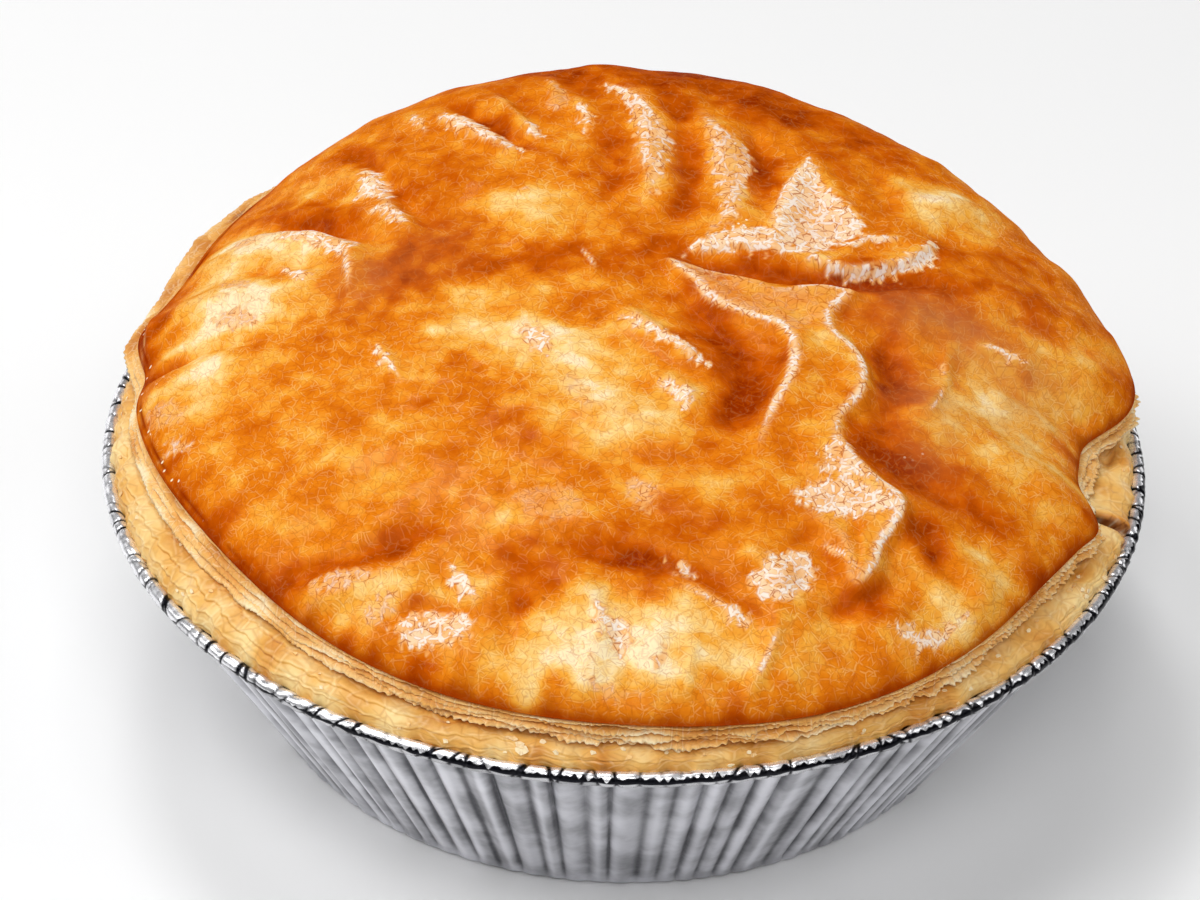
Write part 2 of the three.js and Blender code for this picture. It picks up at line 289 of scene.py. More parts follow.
# Folds of the lid, back to front: the path in plan, the rise (a hollow's is negative), half the width, and
# how much wider the fold is on the left of its path than on the right
FOLDS = [
    ([(-1.4, 45), (0.4, 40), (1.4, 33), (1.4, 26), (2.4, 19)], 1.0, 2.4, 0.45),
    ([(8, 40), (9.6, 34), (11, 28), (12, 22), (12, 14)], 1.0, 2.8, 0.35),
    ([(5.5, 36), (6.4, 27), (6, 19), (3.4, 13)], -0.8, 1.7, 0),
    ([(14.5, 37), (15.9, 28), (15, 19)], -0.9, 1.6, 0),
    ([(16.8, 12), (18, 19), (19.6, 25), (22, 31)], 0.9, 1.4, -0.4),
    ([(22, 31), (24.4, 24), (26.6, 19), (28, 15)], 0.45, 1.6, -0.3),
    ([(22, 27), (22.4, 21), (22, 15)], -0.35, 2.2, 0),
    ([(29, 30), (30.6, 25), (31, 19)], -0.5, 1.8, 0),
    ([(-8, 42), (-6.8, 37), (-5.8, 33)], 0.6, 1.2, 0.3),
    ([(-11, 48), (-10.7, 44), (-9.6, 37)], 0.5, 1.1, 0.2),
    ([(-18.5, 42), (-14.5, 35.5), (-12, 31)], 0.7, 1.2, -0.3),
    ([(-24.5, 43), (-18.5, 35.5), (-12.3, 29.2)], -1.0, 1.3, 0),
    ([(-26, 39.5), (-21, 34), (-15, 28.6)], 0.9, 1.7, 0.4),
    ([(-29.5, 41), (-27, 37), (-26.3, 33)], 0.6, 1.2, 0),
    ([(-37, 37), (-32, 29), (-29, 22), (-23, 14)], -0.9, 1.6, 0),
    ([(-34, 30.5), (-31, 24), (-29.4, 19), (-26.6, 14)], 1.0, 1.9, -0.35),
    ([(2, 47), (3.5, 41), (6, 36)], -0.5, 1.8, 0),
    ([(-3.6, 34), (-2.5, 26), (-3.6, 18)], -0.6, 1.9, 0),
    ([(-12, 27), (-12.6, 20), (-11.6, 13)], 0.5, 3.2, 0),
    ([(25, 11), (28.5, 14.4), (33.5, 15.6)], 0.6, 1.0, 0),
    ([(20, 9.8), (25, 8.8), (29.5, 9.6), (33.5, 11.8), (36.8, 16.5)], 0.9, 1.2, 0.5),
    ([(6, 9.6), (10, 10.8), (15, 11.2), (20, 9.8)], 0.8, 1.4, 0.6),
    ([(6, 8.4), (12, 7.2), (18, 6.8), (26, 7), (37, 8.5)], -1.5, 1.7, 0),
    ([(-50, 22), (-43, 18.7), (-38, 15.2), (-34, 11)], 1.0, 1.9, -0.3),
    ([(-34.4, 13), (-33.4, 7), (-33.2, 1)], 0.9, 1.2, 0.4),
    ([(-47, 25.5), (-41, 20.7), (-36, 18), (-30.5, 13)], -1.1, 1.5, 0),
    ([(-47, 12.6), (-42, 9), (-37.6, 10.8)], -0.7, 1.4, 0),
    ([(-44, 11.8), (-40, 8), (-37.6, 5.6)], 0.6, 1.2, 0),
    ([(-56, 7), (-48, 5.2), (-40, 0.8)], 0.6, 1.6, 0.2),
    ([(-56, -1), (-49, 0.6), (-42, -0.6)], 0.5, 1.5, 0),
    ([(-57, -3), (-50, -2.6), (-43, -4.2)], -0.6, 1.2, 0),
    ([(-57, -8), (-51, -7), (-44, -7.4)], 0.4, 1.6, 0),
    ([(-29.5, -6.4), (-28, -10.5), (-26.3, -14.2)], 0.6, 0.8, 0.3),
    ([(-17, -6), (-11, -6.5), (-5, -9)], 0.5, 2.2, 0),
    ([(-1.6, -1.4), (3.5, -6), (9, -11.4)], 0.9, 1.5, -0.3),
    ([(3, -13.2), (6.4, -15.8), (6.8, -19)], 0.7, 1.3, 0),
    ([(6, 2), (9.6, -4), (13.2, -9), (13.4, -15), (10.5, -23)], -1.4, 2.6, 0),
    ([(-6, -17), (0, -21), (5, -23)], 0.6, 3.6, 0),
    ([(-3, -25), (4, -27.5), (11, -26)], -0.5, 2, 0),
    ([(-4, 9.4), (-4.6, 6), (-3.6, 2.6)], 0.4, 0.8, 0),
    ([(29.4, 0), (30.8, -7), (30.8, -14), (28, -20.6)], -1.2, 2.4, 0),
    ([(27, -21.5), (33, -25.4), (43, -29)], -0.9, 2, 0),
    ([(32.6, -30.8), (35, -36), (39, -40.4)], -1.0, 1.6, 0),
    ([(22, -46.8), (26.5, -44.8), (31.4, -39.6)], -0.9, 1.4, 0),
    ([(19, -36), (22.2, -39), (23.6, -43)], -0.7, 1.6, 0),
    ([(37.7, -1.6), (36.8, -8), (34.2, -14.8)], 0.5, 0.8, 0),
    ([(40, -0.2), (44, -0.8), (48, -2)], 0.5, 1.0, 0),
    ([(43, 7), (50, 5.4), (57, 6.4)], -0.4, 1.3, 0),
    ([(42, -6), (48, -7), (51, -8)], 0.4, 1.4, 0),
    ([(31, 24), (37, 25), (43, 27.5)], 0.6, 2.8, 0),
    ([(34, 18.6), (41, 17.6), (50, 20)], -0.6, 1.8, 0),
    ([(-39, -41.8), (-30, -40), (-20, -38)], -0.9, 1.3, 0),
    ([(-36, -45), (-28, -44), (-20.5, -41.8)], 0.7, 1.5, 0),
    ([(-19, -42.4), (-16.6, -46), (-15, -48.6)], 0.7, 1.0, 0.3),
    ([(-27, -49.6), (-21, -47.4), (-16, -49.6)], -0.6, 1.2, 0),
    ([(-12.4, -41), (-11, -46), (-11.6, -52)], -0.7, 1.8, 0),
    ([(-4.6, -44.6), (-2, -50.5), (-3.8, -57)], 0.7, 1.2, 0.3),
    ([(-7, -39.6), (2, -42.6), (10.5, -45)], -0.9, 1.6, 0),
    ([(4, -43), (9, -46), (15, -50.4)], 0.6, 1.0, 0),
    ([(17.4, -48.6), (16, -53), (14, -57)], 0.6, 0.9, 0),
    ([(4.8, -50), (4, -54), (4.2, -57)], 0.4, 0.8, 0),
    ([(8.2, -52), (7.6, -56), (8, -58)], 0.4, 0.8, 0),
    ([(-0.4, -50), (1.4, -56), (1.2, -58)], -0.4, 0.9, 0),
    ([(12.6, -40), (16, -42), (19, -45)], 0.6, 1.8, 0),
    ([(-57.4, 11), (-58.2, 5), (-57.6, -0.6)], 0.7, 0.9, 0),
    ([(-59, -2), (-56, -2.8), (-51, -3.8)], -0.8, 0.7, 0),
]
FOLD_FADE = (-0.12, 0.25)
CREST_RISE = 0.55
CREST_SHARE = 0.42
# How strongly the crests of rising folds are painted as highlights
FOLD_CREST_HIGHLIGHT = 0.45

# Ovals of the glaze that are darker (positive) or paler, from baking and from painted shade and light:
# middle, half the length and width, heading in degrees, amount
BROWNED_AND_SHADED_OVALS = [
    (2, 50, 22, 9, 0, 0.3), (22, 40, 12, 6, -25, 0.28), (6.5, 29, 10, 2, 90, 0.2),
    (15.5, 28, 9, 1.6, 92, 0.2), (31, 28, 8, 4, 70, 0.2), (-2.8, 27, 9, 2.2, 90, 0.14),
    (-18, 34, 9, 1.6, -48, 0.28), (-22, 26, 9, 4, -50, 0.14), (-37, 21, 10, 1.8, -35, 0.3),
    (-31, 30, 8, 2, -60, 0.16), (-24.5, 8, 7, 4, 50, 0.42), (-26, 2, 5, 3, 20, 0.2),
    (-10, 7.6, 7, 3, 5, 0.36), (2.5, 11, 4, 3, 30, 0.3), (-34, 4, 7, 2, 80, 0.14),
    (21, 7.4, 16, 2, 2, 0.36), (11.5, -5, 8, 3.4, -55, 0.3), (13, -15, 8, 3.4, 95, 0.3),
    (31, -6, 9, 3, -85, 0.28), (30, -21, 7, 4, -35, 0.36), (39, -28, 8, 3, -20, 0.2),
    (35, -35, 6, 3, -50, 0.28), (27, -44.5, 6, 2, 28, 0.3), (3, -42.5, 7, 3, -18, 0.36),
    (10, -46, 5, 2, -30, 0.22), (-9, -45, 5, 4, 90, 0.22), (-28, -40, 10, 1.8, 10, 0.26),
    (-21, -48, 6, 1.4, 5, 0.14), (-11, -23, 8, 3, -45, 0.12), (8, -36.5, 8, 3, -10, 0.14),
    (-57, 4, 3, 8, 0, 0.36), (42, 11, 10, 5, 10, 0.22), (33, 2, 6, 4, 0, 0.12), (-46, 19, 7, 3, -30, -0.38),
    (-46, 3, 8, 4, 15, -0.32), (-47, 11, 12, 9, 0, -0.16), (-12, 17, 4, 6, 0, -0.3),
    (-10, -7, 9, 4, -25, -0.34), (-4, -15, 8, 5, -30, -0.3), (-20, -4, 4, 7, 10, -0.16),
    (0, -23, 9, 3, -10, -0.18), (37, 25, 7, 5, 10, -0.32), (44, -13, 11, 8, -20, -0.32),
    (52, -2, 6, 8, 0, -0.16), (-50, 4, 9, 18, 0, -0.12), (-52, -10, 5, 9, -10, -0.18),
    (2, -51, 15, 5, 0, -0.36), (-2, -55, 12, 3.5, 0, -0.34), (-47, -3, 8, 6, 0, -0.1),
    (-24, -46, 9, 3, 10, -0.36), (38, -40, 9, 5, 42, -0.4), (-37, -28, 10, 9, 0, -0.08),
    (21, -12, 3, 9, 0, -0.08), (-5, -33, 12, 5, 0, -0.06), (19, -50, 8, 4, 15, -0.1),
]

# Ovals of the glaze with a painted hazy, rosy reflection: middle, half the length and width, heading in
# degrees, amount
HAZE_REFLECTION_OVALS = [
    (37, 1, 9, 4, -15, 0.8), (35, -15, 4, 8, 0, 0.7), (46, -4, 5, 8, 0, 0.5), (-28, 7, 8, 5, 40, 0.5),
]

# Patches of painted highlight, where the glaze is painted pale: how pale, and the outline in plan
HIGHLIGHT_PATCHES = [
    (0.72, [
        (-4.5, 45.5), (-1, 42), (1, 38.5), (3.4, 34.8), (4.7, 32), (4.2, 28), (3.5, 22.5), (2.9, 20),
        (1.7, 23), (0.4, 27), (0, 31), (-0.7, 36), (-2.3, 41), (-4, 43.5),
    ]),
    (0.68, [
        (8.5, 37), (11, 34.3), (13.5, 32), (14.8, 29), (14.2, 24), (13.2, 20), (12, 15.5), (9, 12.8),
        (10, 16), (10.4, 19.5), (9.8, 24), (9, 28), (9, 32.5),
    ]),
    (1.0, [
        (21.7, 29.5), (23, 26), (24.7, 22.5), (27.2, 19), (28, 15.5), (24.5, 12.8), (21.2, 10),
        (17.5, 12.8), (16.7, 15.5), (17.5, 19), (18.5, 23.5), (20, 27),
    ]),
    (1.0, [
        (6.5, 9.5), (8.5, 12), (12, 14), (16, 14.5), (19, 12.8), (21.2, 10.5), (17.5, 9.8), (14, 10),
        (10, 9.8),
    ]),
    (1.0, [
        (21.2, 10.5), (25, 8.8), (29, 9.2), (32.5, 11), (35, 14.3), (36.2, 16.8), (37, 14), (36.2, 11.5),
        (33, 9.5), (29, 8.2), (25, 7.6), (22, 9),
    ]),
    (0.9, [(24.5, 12), (26.5, 14), (30, 15.3), (32, 15), (30, 14), (27, 12.5)]),
    (0.4, [
        (6.5, 8), (10.5, 4.5), (14, 5), (17.5, 3.3), (20, 4), (24, 4.8), (26.2, 3.5), (24.8, 0.5),
        (23.6, -2.5), (21, -3), (18.5, -5), (15.5, -3), (11, -0.5), (8.5, 2.5),
    ]),
    (0.88, [(21, -29), (25, -28.5), (29, -30), (30.5, -32), (27, -33.5), (23, -34), (20, -33), (19, -31)]),
    (0.8, [(22, -25), (24, -22), (26.5, -26), (28.5, -28.5), (25, -28.5), (22, -28)]),
    (0.9, [(17.5, -40), (20, -39.2), (21.4, -42), (19.5, -45.5), (16, -47), (14, -44.5), (15.5, -42)]),
    (0.7, [(5, -42), (7.5, -42.5), (8.5, -44), (6.5, -44.4)]),
    (0.9, [(10.5, -48.2), (12.5, -47.8), (15, -49.5), (13, -50)]),
    (1.0, [
        (-1, -3.5), (1.5, -4.3), (5, -6.8), (7.5, -8.5), (9.5, -11.5), (8.5, -11.7), (5.5, -9.5), (2.5, -7),
    ]),
    (1.0, [(3, -14.4), (6, -15.3), (7.6, -17), (7, -19.6), (5.8, -18.5), (4.7, -16.5)]),
    (0.8, [(41.5, 0.4), (46.5, -0.3), (46, -1.6), (43.5, -1.2)]),
    (0.75, [
        (30, -46), (34, -45.2), (36.5, -43.6), (38, -41.8), (38.3, -42.8), (35.5, -46.5), (32.5, -48.5),
        (30, -47.5),
    ]),
    (0.85, [(-3, -48.5), (-0.5, -49.3), (1.5, -51.5), (0.4, -54), (-2, -51)]),
    (0.6, [(3.4, -55.6), (4.2, -53.4), (5.4, -53), (4.6, -55.5)]),
    (0.5, [(-3.8, -55.5), (-1.5, -56.4), (3, -57.4), (-1, -57.8)]),
    (0.9, [(-7.5, 39), (-5.5, 37), (-5.3, 34.5), (-6.4, 33.5), (-7.2, 36)]),
    (0.45, [(-11.6, 45.5), (-9, 43), (-8, 39), (-11.4, 38), (-11.2, 42)]),
    (0.9, [(-14, 35), (-12.5, 34.5), (-11.4, 32), (-12.6, 31.8), (-13.6, 33.5)]),
    (0.9, [
        (-24, 38), (-20.5, 36.5), (-18, 33.5), (-15.5, 31), (-13, 29), (-15.5, 29), (-19.5, 31.5),
        (-22.5, 34), (-24.5, 36.5),
    ]),
    (0.8, [(-28, 40.4), (-26.8, 38), (-25.8, 34.5), (-27, 36), (-28.7, 38.5)]),
    (0.95, [(-33.5, 29.5), (-31.5, 27.5), (-30, 24), (-29.5, 21.5), (-32, 22), (-34, 23.5), (-33.5, 26)]),
    (0.85, [(-32, 20), (-28, 18.5), (-27.4, 16), (-28, 15), (-30, 17)]),
    (0.85, [(-42, 19), (-36, 15.8), (-33.8, 13), (-34.6, 9.6), (-37, 11.5), (-39.5, 14), (-42.4, 16.4)]),
    (0.9, [(-41.7, 9.7), (-39.5, 8.2), (-37.8, 6.5), (-38.5, 5.4), (-40.7, 6.6)]),
    (0.5, [(-49, 20.5), (-45.5, 22.5), (-43, 21), (-45.5, 18.5), (-48.5, 18)]),
    (0.5, [(-49.5, 10), (-46.5, 9), (-44.8, 6.5), (-47, 6.3), (-49, 8)]),
    (0.55, [(-50, 2.7), (-46, 2.7), (-43, 0), (-44.5, -1.1), (-48, 0)]),
    (0.9, [(-12.5, -5.5), (-10, -6), (-8.8, -9), (-10, -10.7), (-12.2, -8)]),
    (0.9, [(-29.2, -8.3), (-27.5, -10.3), (-26.2, -13.7), (-27.2, -13.5), (-28.7, -11)]),
    (0.45, [(-56, -9.5), (-52, -10.5), (-50.5, -14), (-53.5, -14.5), (-55.4, -12)]),
    (0.6, [(-53, -16.6), (-50.5, -17), (-49.6, -19.4), (-52, -19)]),
    (1.0, [(-19, -43.3), (-16.5, -44.3), (-15.1, -47.2), (-16.5, -47.2), (-18.2, -45.5)]),
    (0.55, [(-34, -42.3), (-29, -41.6), (-26, -43), (-29, -44.5), (-33, -44)]),
    (0.55, [(-27.8, -46.3), (-24, -45.8), (-24.8, -48.6), (-27.2, -48.6)]),
    (0.85, [(-24.5, -49), (-19.5, -48), (-15.3, -49.5), (-17, -51.7), (-22, -52)]),
    (0.4, [(-8, -14.5), (-5.5, -14), (-3.4, -20.5), (-5.5, -20)]),
    (0.5, [(0.2, -30.4), (3.6, -31.2), (3, -35.7), (0.6, -34)]),
    (0.4, [(-12, -33), (-6, -32), (-4.5, -36.5), (-9.5, -37.5)]),
]
PATCH_EDGE = (-0.4, 0.7)
PATCH_FADING = 0.3
PATCH_MIDDLE = (0.9, 2.6)
PATCH_MARGIN = 2

# Narrow glints painted pale along creases as highlights: how pale, half the width, and the path in plan
GLINTS = [
    (1.0, 0.45, [(-4, 45), (-1, 41.6), (1, 38), (3.4, 34.6)]),
    (0.9, 0.4, [(16.6, 15), (17.5, 19), (18.6, 23.5), (21.6, 29.3)]),
    (0.9, 0.35, [(22, -37.5), (25, -40), (26, -41.5)]),
    (0.9, 0.4, [
        (-43, 21), (-39.5, 18.7), (-36, 16.2), (-33.4, 13.8), (-33, 11.5), (-34, 9), (-33.5, 5.5),
        (-33.2, 2),
    ]),
    (0.8, 0.4, [(6.5, -45.5), (9, -46.5), (14, -49.5)]),
    (0.8, 0.4, [(17, -50), (16.6, -51.5), (15, -55)]),
    (0.7, 0.3, [(36.6, -8.4), (36, -11.5), (34.8, -14.4)]),
    (0.6, 0.35, [(36.8, -4), (36.7, -6.5)]),
    (0.7, 0.35, [(-6, 10), (-5, 7.5), (-4.2, 5.4)]),
    (0.6, 0.35, [(-12.4, 21), (-14, 20.4)]),
]
GLINT_FADE = (-0.1, 0.2)

# How far past its path a bell still counts, in its own widths
BELL_MARGIN = 4


def lerp(first, second, share):
    """Straight way from first to second."""
    return first + (second - first) * share


def smooth_step(value, low, high):
    """0 below low and 1 above high, with an even S between them."""
    share = np.clip((value - low) / (high - low), 0, 1)
    return share * share * (3 - 2 * share)


def bell(distance, reach):
    """1 at no distance, falling away as a bell over the reach."""
    return np.exp(-(distance / reach) ** 2)


def shortest(turn):
    """A turn as the shorter way round, from minus to plus half a turn."""
    return np.angle(np.exp(1j * turn))


def way_round(angle, degrees, radius):
    """Way round the pie from a direction in degrees, in millimetres at a radius."""
    return shortest(angle - math.radians(degrees)) * radius


def swell(angle, rows):
    """Sum of bell-shaped swells round the pie."""
    total = np.zeros_like(angle)
    for place, spread, amount in rows:
        total += amount * bell(shortest(angle - math.radians(place)), math.radians(spread))
    return total


def ring_noise(angle, fewest, most, seed, count=24):
    """Sum of cosines round the pie, each with a whole number of waves drawn between fewest and most."""
    draw = np.random.default_rng(seed)
    waves = draw.integers(fewest, most + 1, count)
    phases = draw.uniform(0, FULL_TURN, count)
    total = np.zeros_like(angle)
    for number, phase in zip(waves, phases):
        total += np.cos(number * angle + phase)
    return total * math.sqrt(2 / count)


def ring_sum(angle, rows):
    """Sum of ring noises, each with its amount, fewest and most waves, and seed."""
    return sum(amount * ring_noise(angle, fewest, most, seed) for amount, fewest, most, seed in rows)


def ripples(x, y, length, seed, count=26):
    """Sum of plane waves of about one length in drawn directions, with a spread of one."""
    draw = np.random.default_rng(seed)
    headings = draw.uniform(0, FULL_TURN, count)
    phases = draw.uniform(0, FULL_TURN, count)
    numbers = FULL_TURN / length * draw.uniform(0.65, 1.45, count)
    total = np.zeros_like(x)
    for heading, phase, number in zip(headings, phases, numbers):
        total += np.cos(number * (x * math.cos(heading) + y * math.sin(heading)) + phase)
    return total * math.sqrt(2 / count)


def ripple_sum(x, y, rows):
    """Sum of ripples, each with its rise, length and seed."""
    return sum(rise * ripples(x, y, length, seed) for rise, length, seed in rows)


def crumple(x, y, size, seed, side=64):
    """Facets between creases: the distance to the nearest of points scattered one to each square of the
    size, as a share of the size, so that it is highest along the creases half way between points. The
    scatter repeats after a number of squares to each side."""
    table = np.random.default_rng(seed).random((side, side, 2))
    column = np.floor(x / size).astype(int)
    row = np.floor(y / size).astype(int)
    nearest = np.full_like(x, np.inf)
    for step_x in (-1, 0, 1):
        for step_y in (-1, 0, 1):
            jitter = table[(column + step_x) % side, (row + step_y) % side]
            gap_x = column + step_x + jitter[..., 0] - x / size
            gap_y = row + step_y + jitter[..., 1] - y / size
            nearest = np.minimum(nearest, np.hypot(gap_x, gap_y))
    return nearest


def through(points, closed=False, steps=6):
    """Smooth curve through points: each span is the cubic whose slopes at its ends run between the points
    on either side of them."""
    points = np.array(points, float)
    if closed:
        padded = np.concatenate([points[-1:], points, points[:2]])
    else:
        padded = np.concatenate([2 * points[:1] - points[1:2], points, 2 * points[-1:] - points[-2:-1]])
    share = np.linspace(0, 1, steps, endpoint=False)[:, None]
    spans = []
    for before, start, end, after in zip(padded, padded[1:], padded[2:], padded[3:]):
        bend = 2 * before - 5 * start + 4 * end - after
        twist = 3 * (start - end) + after - before
        spans.append(start + 0.5 * share * (end - before + share * (bend + share * twist)))
    curve = np.concatenate(spans)
    return np.concatenate([curve, curve[:1] if closed else points[-1:]])


def path_lengths(curve):
    """Length of each step of a curve, and the length reached at each of its points."""
    lengths = np.hypot(*np.diff(curve, axis=0).T)
    return lengths, np.concatenate([[0], np.cumsum(lengths)])


def path_distance(x, y, curve):
    """Distance from each point to a curve, how far along the curve its nearest place is, from 0 to 1, and
    which side the point lies on: 1 on the left of the way along, -1 on the right."""
    nearest = np.full_like(x, np.inf)
    along = np.zeros_like(x)
    side = np.ones_like(x)
    lengths, reached = path_lengths(curve)
    for start, end, length, before in zip(curve, curve[1:], lengths, reached):
        run = (end - start) / max(length, TINY)
        gap_x = x - start[0]
        gap_y = y - start[1]
        travel = np.clip(gap_x * run[0] + gap_y * run[1], 0, length)
        gap = np.hypot(gap_x - travel * run[0], gap_y - travel * run[1])
        closer = gap < nearest
        nearest = np.where(closer, gap, nearest)
        along = np.where(closer, (before + travel) / reached[-1], along)
        side = np.where(closer, np.sign(run[0] * gap_y - run[1] * gap_x), side)
    return nearest, along, side


def inside(x, y, outline):
    """Whether a line from each point towards +X crosses the closed outline an odd number of times."""
    odd = np.zeros(x.shape, bool)
    for (x0, y0), (x1, y1) in zip(outline, outline[1:]):
        if y0 != y1:
            crosses = (y0 > y) != (y1 > y)
            odd ^= crosses & (x < x0 + (y - y0) * (x1 - x0) / (y1 - y0))
    return odd


def near(x, y, curve, margin):
    """Points that lie within the curve's box, widened by a margin."""
    low = curve.min(axis=0) - margin
    high = curve.max(axis=0) + margin
    return (x > low[0]) & (x < high[0]) & (y > low[1]) & (y < high[1])


def fade_ends(along, start, full):
    """0 to 1 over the first part of a path and back over its last."""
    return smooth_step(along, start, full) * smooth_step(1 - along, start, full)


def glaze_radius(angle):
    """Radius of the glazed edge, with its swells and dents."""
    return LID_RADIUS + swell(angle, GLAZE_SWELLS)


def edge_height(angle):
    """Height of the glazed edge above the table."""
    return LID_EDGE_HEIGHT + swell(angle, EDGE_LIFTS)


def crust_top(angle):
    """Height of the crust's rim, which rises with the lid's edge."""
    return CRUST_TOP + swell(angle, EDGE_LIFTS)


def dome_height(angle, share):
    """Smooth lid: a tilted, crowned plateau that turns down over a shoulder to the edge, steeper at the
    back and slacker where the edge is slack."""
    radius = share * glaze_radius(angle)
    back = np.maximum(0, np.sin(angle))
    edge = edge_height(angle)
    crown = LID_CROWN * (radius * np.cos(angle) / LID_RADIUS) ** 2
    plateau = LID_TOP_HEIGHT + LID_TILT * radius * np.sin(angle) - crown
    plateau = plateau + share ** 2 * swell(angle, PLATEAU_SWELLS)
    slack = np.minimum(swell(angle, SLACK_EDGES), 1)
    turned = np.clip(1 - share ** lerp(lerp(*SHOULDER, back), SLACK_SHOULDER[0], slack), 0, 1)
    return edge + (plateau - edge) * turned ** lerp(lerp(*SHOULDER_BEND, back), SLACK_SHOULDER[1], slack)


def fold_relief(x, y):
    """Sum of the folds. Each falls away from its path as a bell, wider on one side where it leans, and
    fades in and out along it. Also gives the narrow crests of the folds that rise."""
    total = np.zeros_like(x)
    crests = np.zeros_like(x)
    for path, rise, half, lean in FOLDS:
        curve = through(path)
        here = near(x, y, curve, BELL_MARGIN * half)
        gap, along, side = path_distance(x[here], y[here], curve)
        fade = fade_ends(along, *FOLD_FADE)
        wide = half * (1 + lean * np.tanh(2 * side * gap / half))
        total[here] += rise * fade * bell(gap, wide)
        if rise > CREST_RISE:
            crests[here] = np.maximum(crests[here], rise * fade * bell(gap, CREST_SHARE * half))
    return total, crests


def tongue_relief(x, y):
    """Raised tongue: it climbs from well outside its outline to a narrow crest just inside, by the share of
    the rise that the outline has there, and dishes towards its middle. Also gives the crest alone."""
    rise = np.zeros_like(x)
    crest = np.zeros_like(x)
    table = through(TONGUE, closed=True)
    curve = table[:, :2]
    _, reached = path_lengths(curve)
    here = near(x, y, curve, TONGUE_MARGIN)
    gap, along, _ = path_distance(x[here], y[here], curve)
    share = np.interp(along, reached / reached[-1], table[:, 2])
    depth = np.where(inside(x[here], y[here], curve), gap, -gap)
    past_crest = depth - TONGUE_CREST_PLACE
    crest[here] = share * bell(past_crest, np.where(past_crest < 0, *TONGUE_CREST_REACH))
    dish = 1 - TONGUE_DISH * smooth_step(depth, *TONGUE_DISH_SPAN)
    rise[here] = TONGUE_RISE * share * smooth_step(depth, *TONGUE_FOOT) * dish
    return rise + TONGUE_CREST_RISE * crest, crest


def ovals(x, y, rows):
    """Sum of oval patches that fade outwards as bells."""
    total = np.zeros_like(x)
    for middle_x, middle_y, half_length, half_width, heading, amount in rows:
        turn = math.radians(heading)
        along = (x - middle_x) * math.cos(turn) + (y - middle_y) * math.sin(turn)
        across = (y - middle_y) * math.cos(turn) - (x - middle_x) * math.sin(turn)
        total += amount * bell(along, half_length) * bell(across, half_width)
    return total


def painted_highlights(x, y, crests):
    """How pale the painted highlights make the glaze: the strongest of its crests, of the glints along
    creases and of the outlined patches, which have ragged edges and are a little less pale well inside them."""
    ragged = ripple_sum(x, y, RAGGED_PATCHES)
    total = crests.copy()
    for amount, half, path in GLINTS:
        curve = through(path)
        here = near(x, y, curve, BELL_MARGIN * half)
        gap, along, _ = path_distance(x[here], y[here], curve)
        total[here] = np.maximum(total[here], amount * fade_ends(along, *GLINT_FADE) * bell(gap, half))
    for amount, outline in HIGHLIGHT_PATCHES:
        curve = through(outline, closed=True)
        here = near(x, y, curve, PATCH_MARGIN)
        gap, _, _ = path_distance(x[here], y[here], curve)
        depth = np.where(inside(x[here], y[here], curve), gap, -gap) + ragged[here]
        shown = smooth_step(depth, *PATCH_EDGE) * (1 - PATCH_FADING * smooth_step(depth, *PATCH_MIDDLE))
        total[here] = np.maximum(total[here], amount * shown)
    return np.clip(total, 0, 1)


def pleat_relief(angle, share):
    """Radial pleats where the lid turns down to its edge, which bunch up and flatten round the pie."""
    wave = np.cos(PLEATS * angle + np.sin(PLEAT_BUNCHES * angle))
    strength = lerp(LEAST_PLEAT, 1, (1 + np.sin(PLEAT_FLATS * angle)) / 2)
    return PLEAT_RISE * bell(share - PLEAT_PLACE, PLEAT_REACH) * wave * strength


def ring_faces(rows, columns, closed_section=False):
    """Faces of a grid of rows by columns whose last column joins its first, and, in a closed section, whose
    last row joins its first. Rows that go up on the outside face outwards."""
    steps = rows if closed_section else rows - 1
    row, column = np.meshgrid(np.arange(steps), np.arange(columns), indexing="ij")
    low = row * columns
    high = (row + 1) % rows * columns
    beside = (column + 1) % columns
    return np.stack([low + column, low + beside, high + beside, high + column], axis=-1).reshape(-1, 4)


def fan_faces(ring, pole, upwards):
    """Triangles between a ring, anticlockwise seen from above, and its pole."""
    following = np.roll(ring, -1)
    poles = np.full_like(ring, pole)
    return np.stack([ring, following, poles] if upwards else [following, ring, poles], axis=-1)


def add_piece(name, points, faces, material, node=None, attributes=None, smooth=True):
    """Mesh of the given points and lists of faces, smooth or flat, riding on the pie's one body."""
    mesh = bpy.data.meshes.new(name)
    listed = [face for group in faces for face in group.tolist()]
    mesh.from_pydata((points.reshape(-1, 3) * MM).tolist(), [], listed)
    mesh.polygons.foreach_set("use_smooth", np.full(len(mesh.polygons), smooth))
    for label, values in (attributes or {}).items():
        vector = values.ndim == 2 and values.shape[1] == 3
        layer = mesh.attributes.new(label, "FLOAT_VECTOR" if vector else "FLOAT", "POINT")
        layer.data.foreach_set("vector" if vector else "value", values.astype(np.float32).ravel())
    mesh.materials.append(material)
    mesh.update()
    piece = bpy.data.objects.new(name, mesh)
    bpy.context.scene.collection.objects.link(piece)
    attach(piece, "root")
    if node:
        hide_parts(node)
    return piece


def turned_points(angle, rows):
    """Points of rows of radius and height round the axis, one row after another."""
    radius = np.stack([np.broadcast_to(row[0], angle.shape) for row in rows])
    height = np.stack([np.broadcast_to(row[1], angle.shape) for row in rows])
    return np.stack([radius * np.cos(angle), radius * np.sin(angle), height], axis=-1)


def turned_piece(angle, rows, low_pole, high_pole):
    """Closed body of rows from underneath, round the outside, to the top, with a pole at each end."""
    columns = len(angle)
    grid = turned_points(angle, rows).reshape(-1, 3)
    points = np.concatenate([grid, [[0, 0, low_pole], [0, 0, high_pole]]])
    first = np.arange(columns)
    last = first + (len(rows) - 1) * columns
    faces = [
        ring_faces(len(rows), columns),
        fan_faces(first, len(grid), upwards=False),
        fan_faces(last, len(grid) + 1, upwards=True),
    ]
    return points, faces


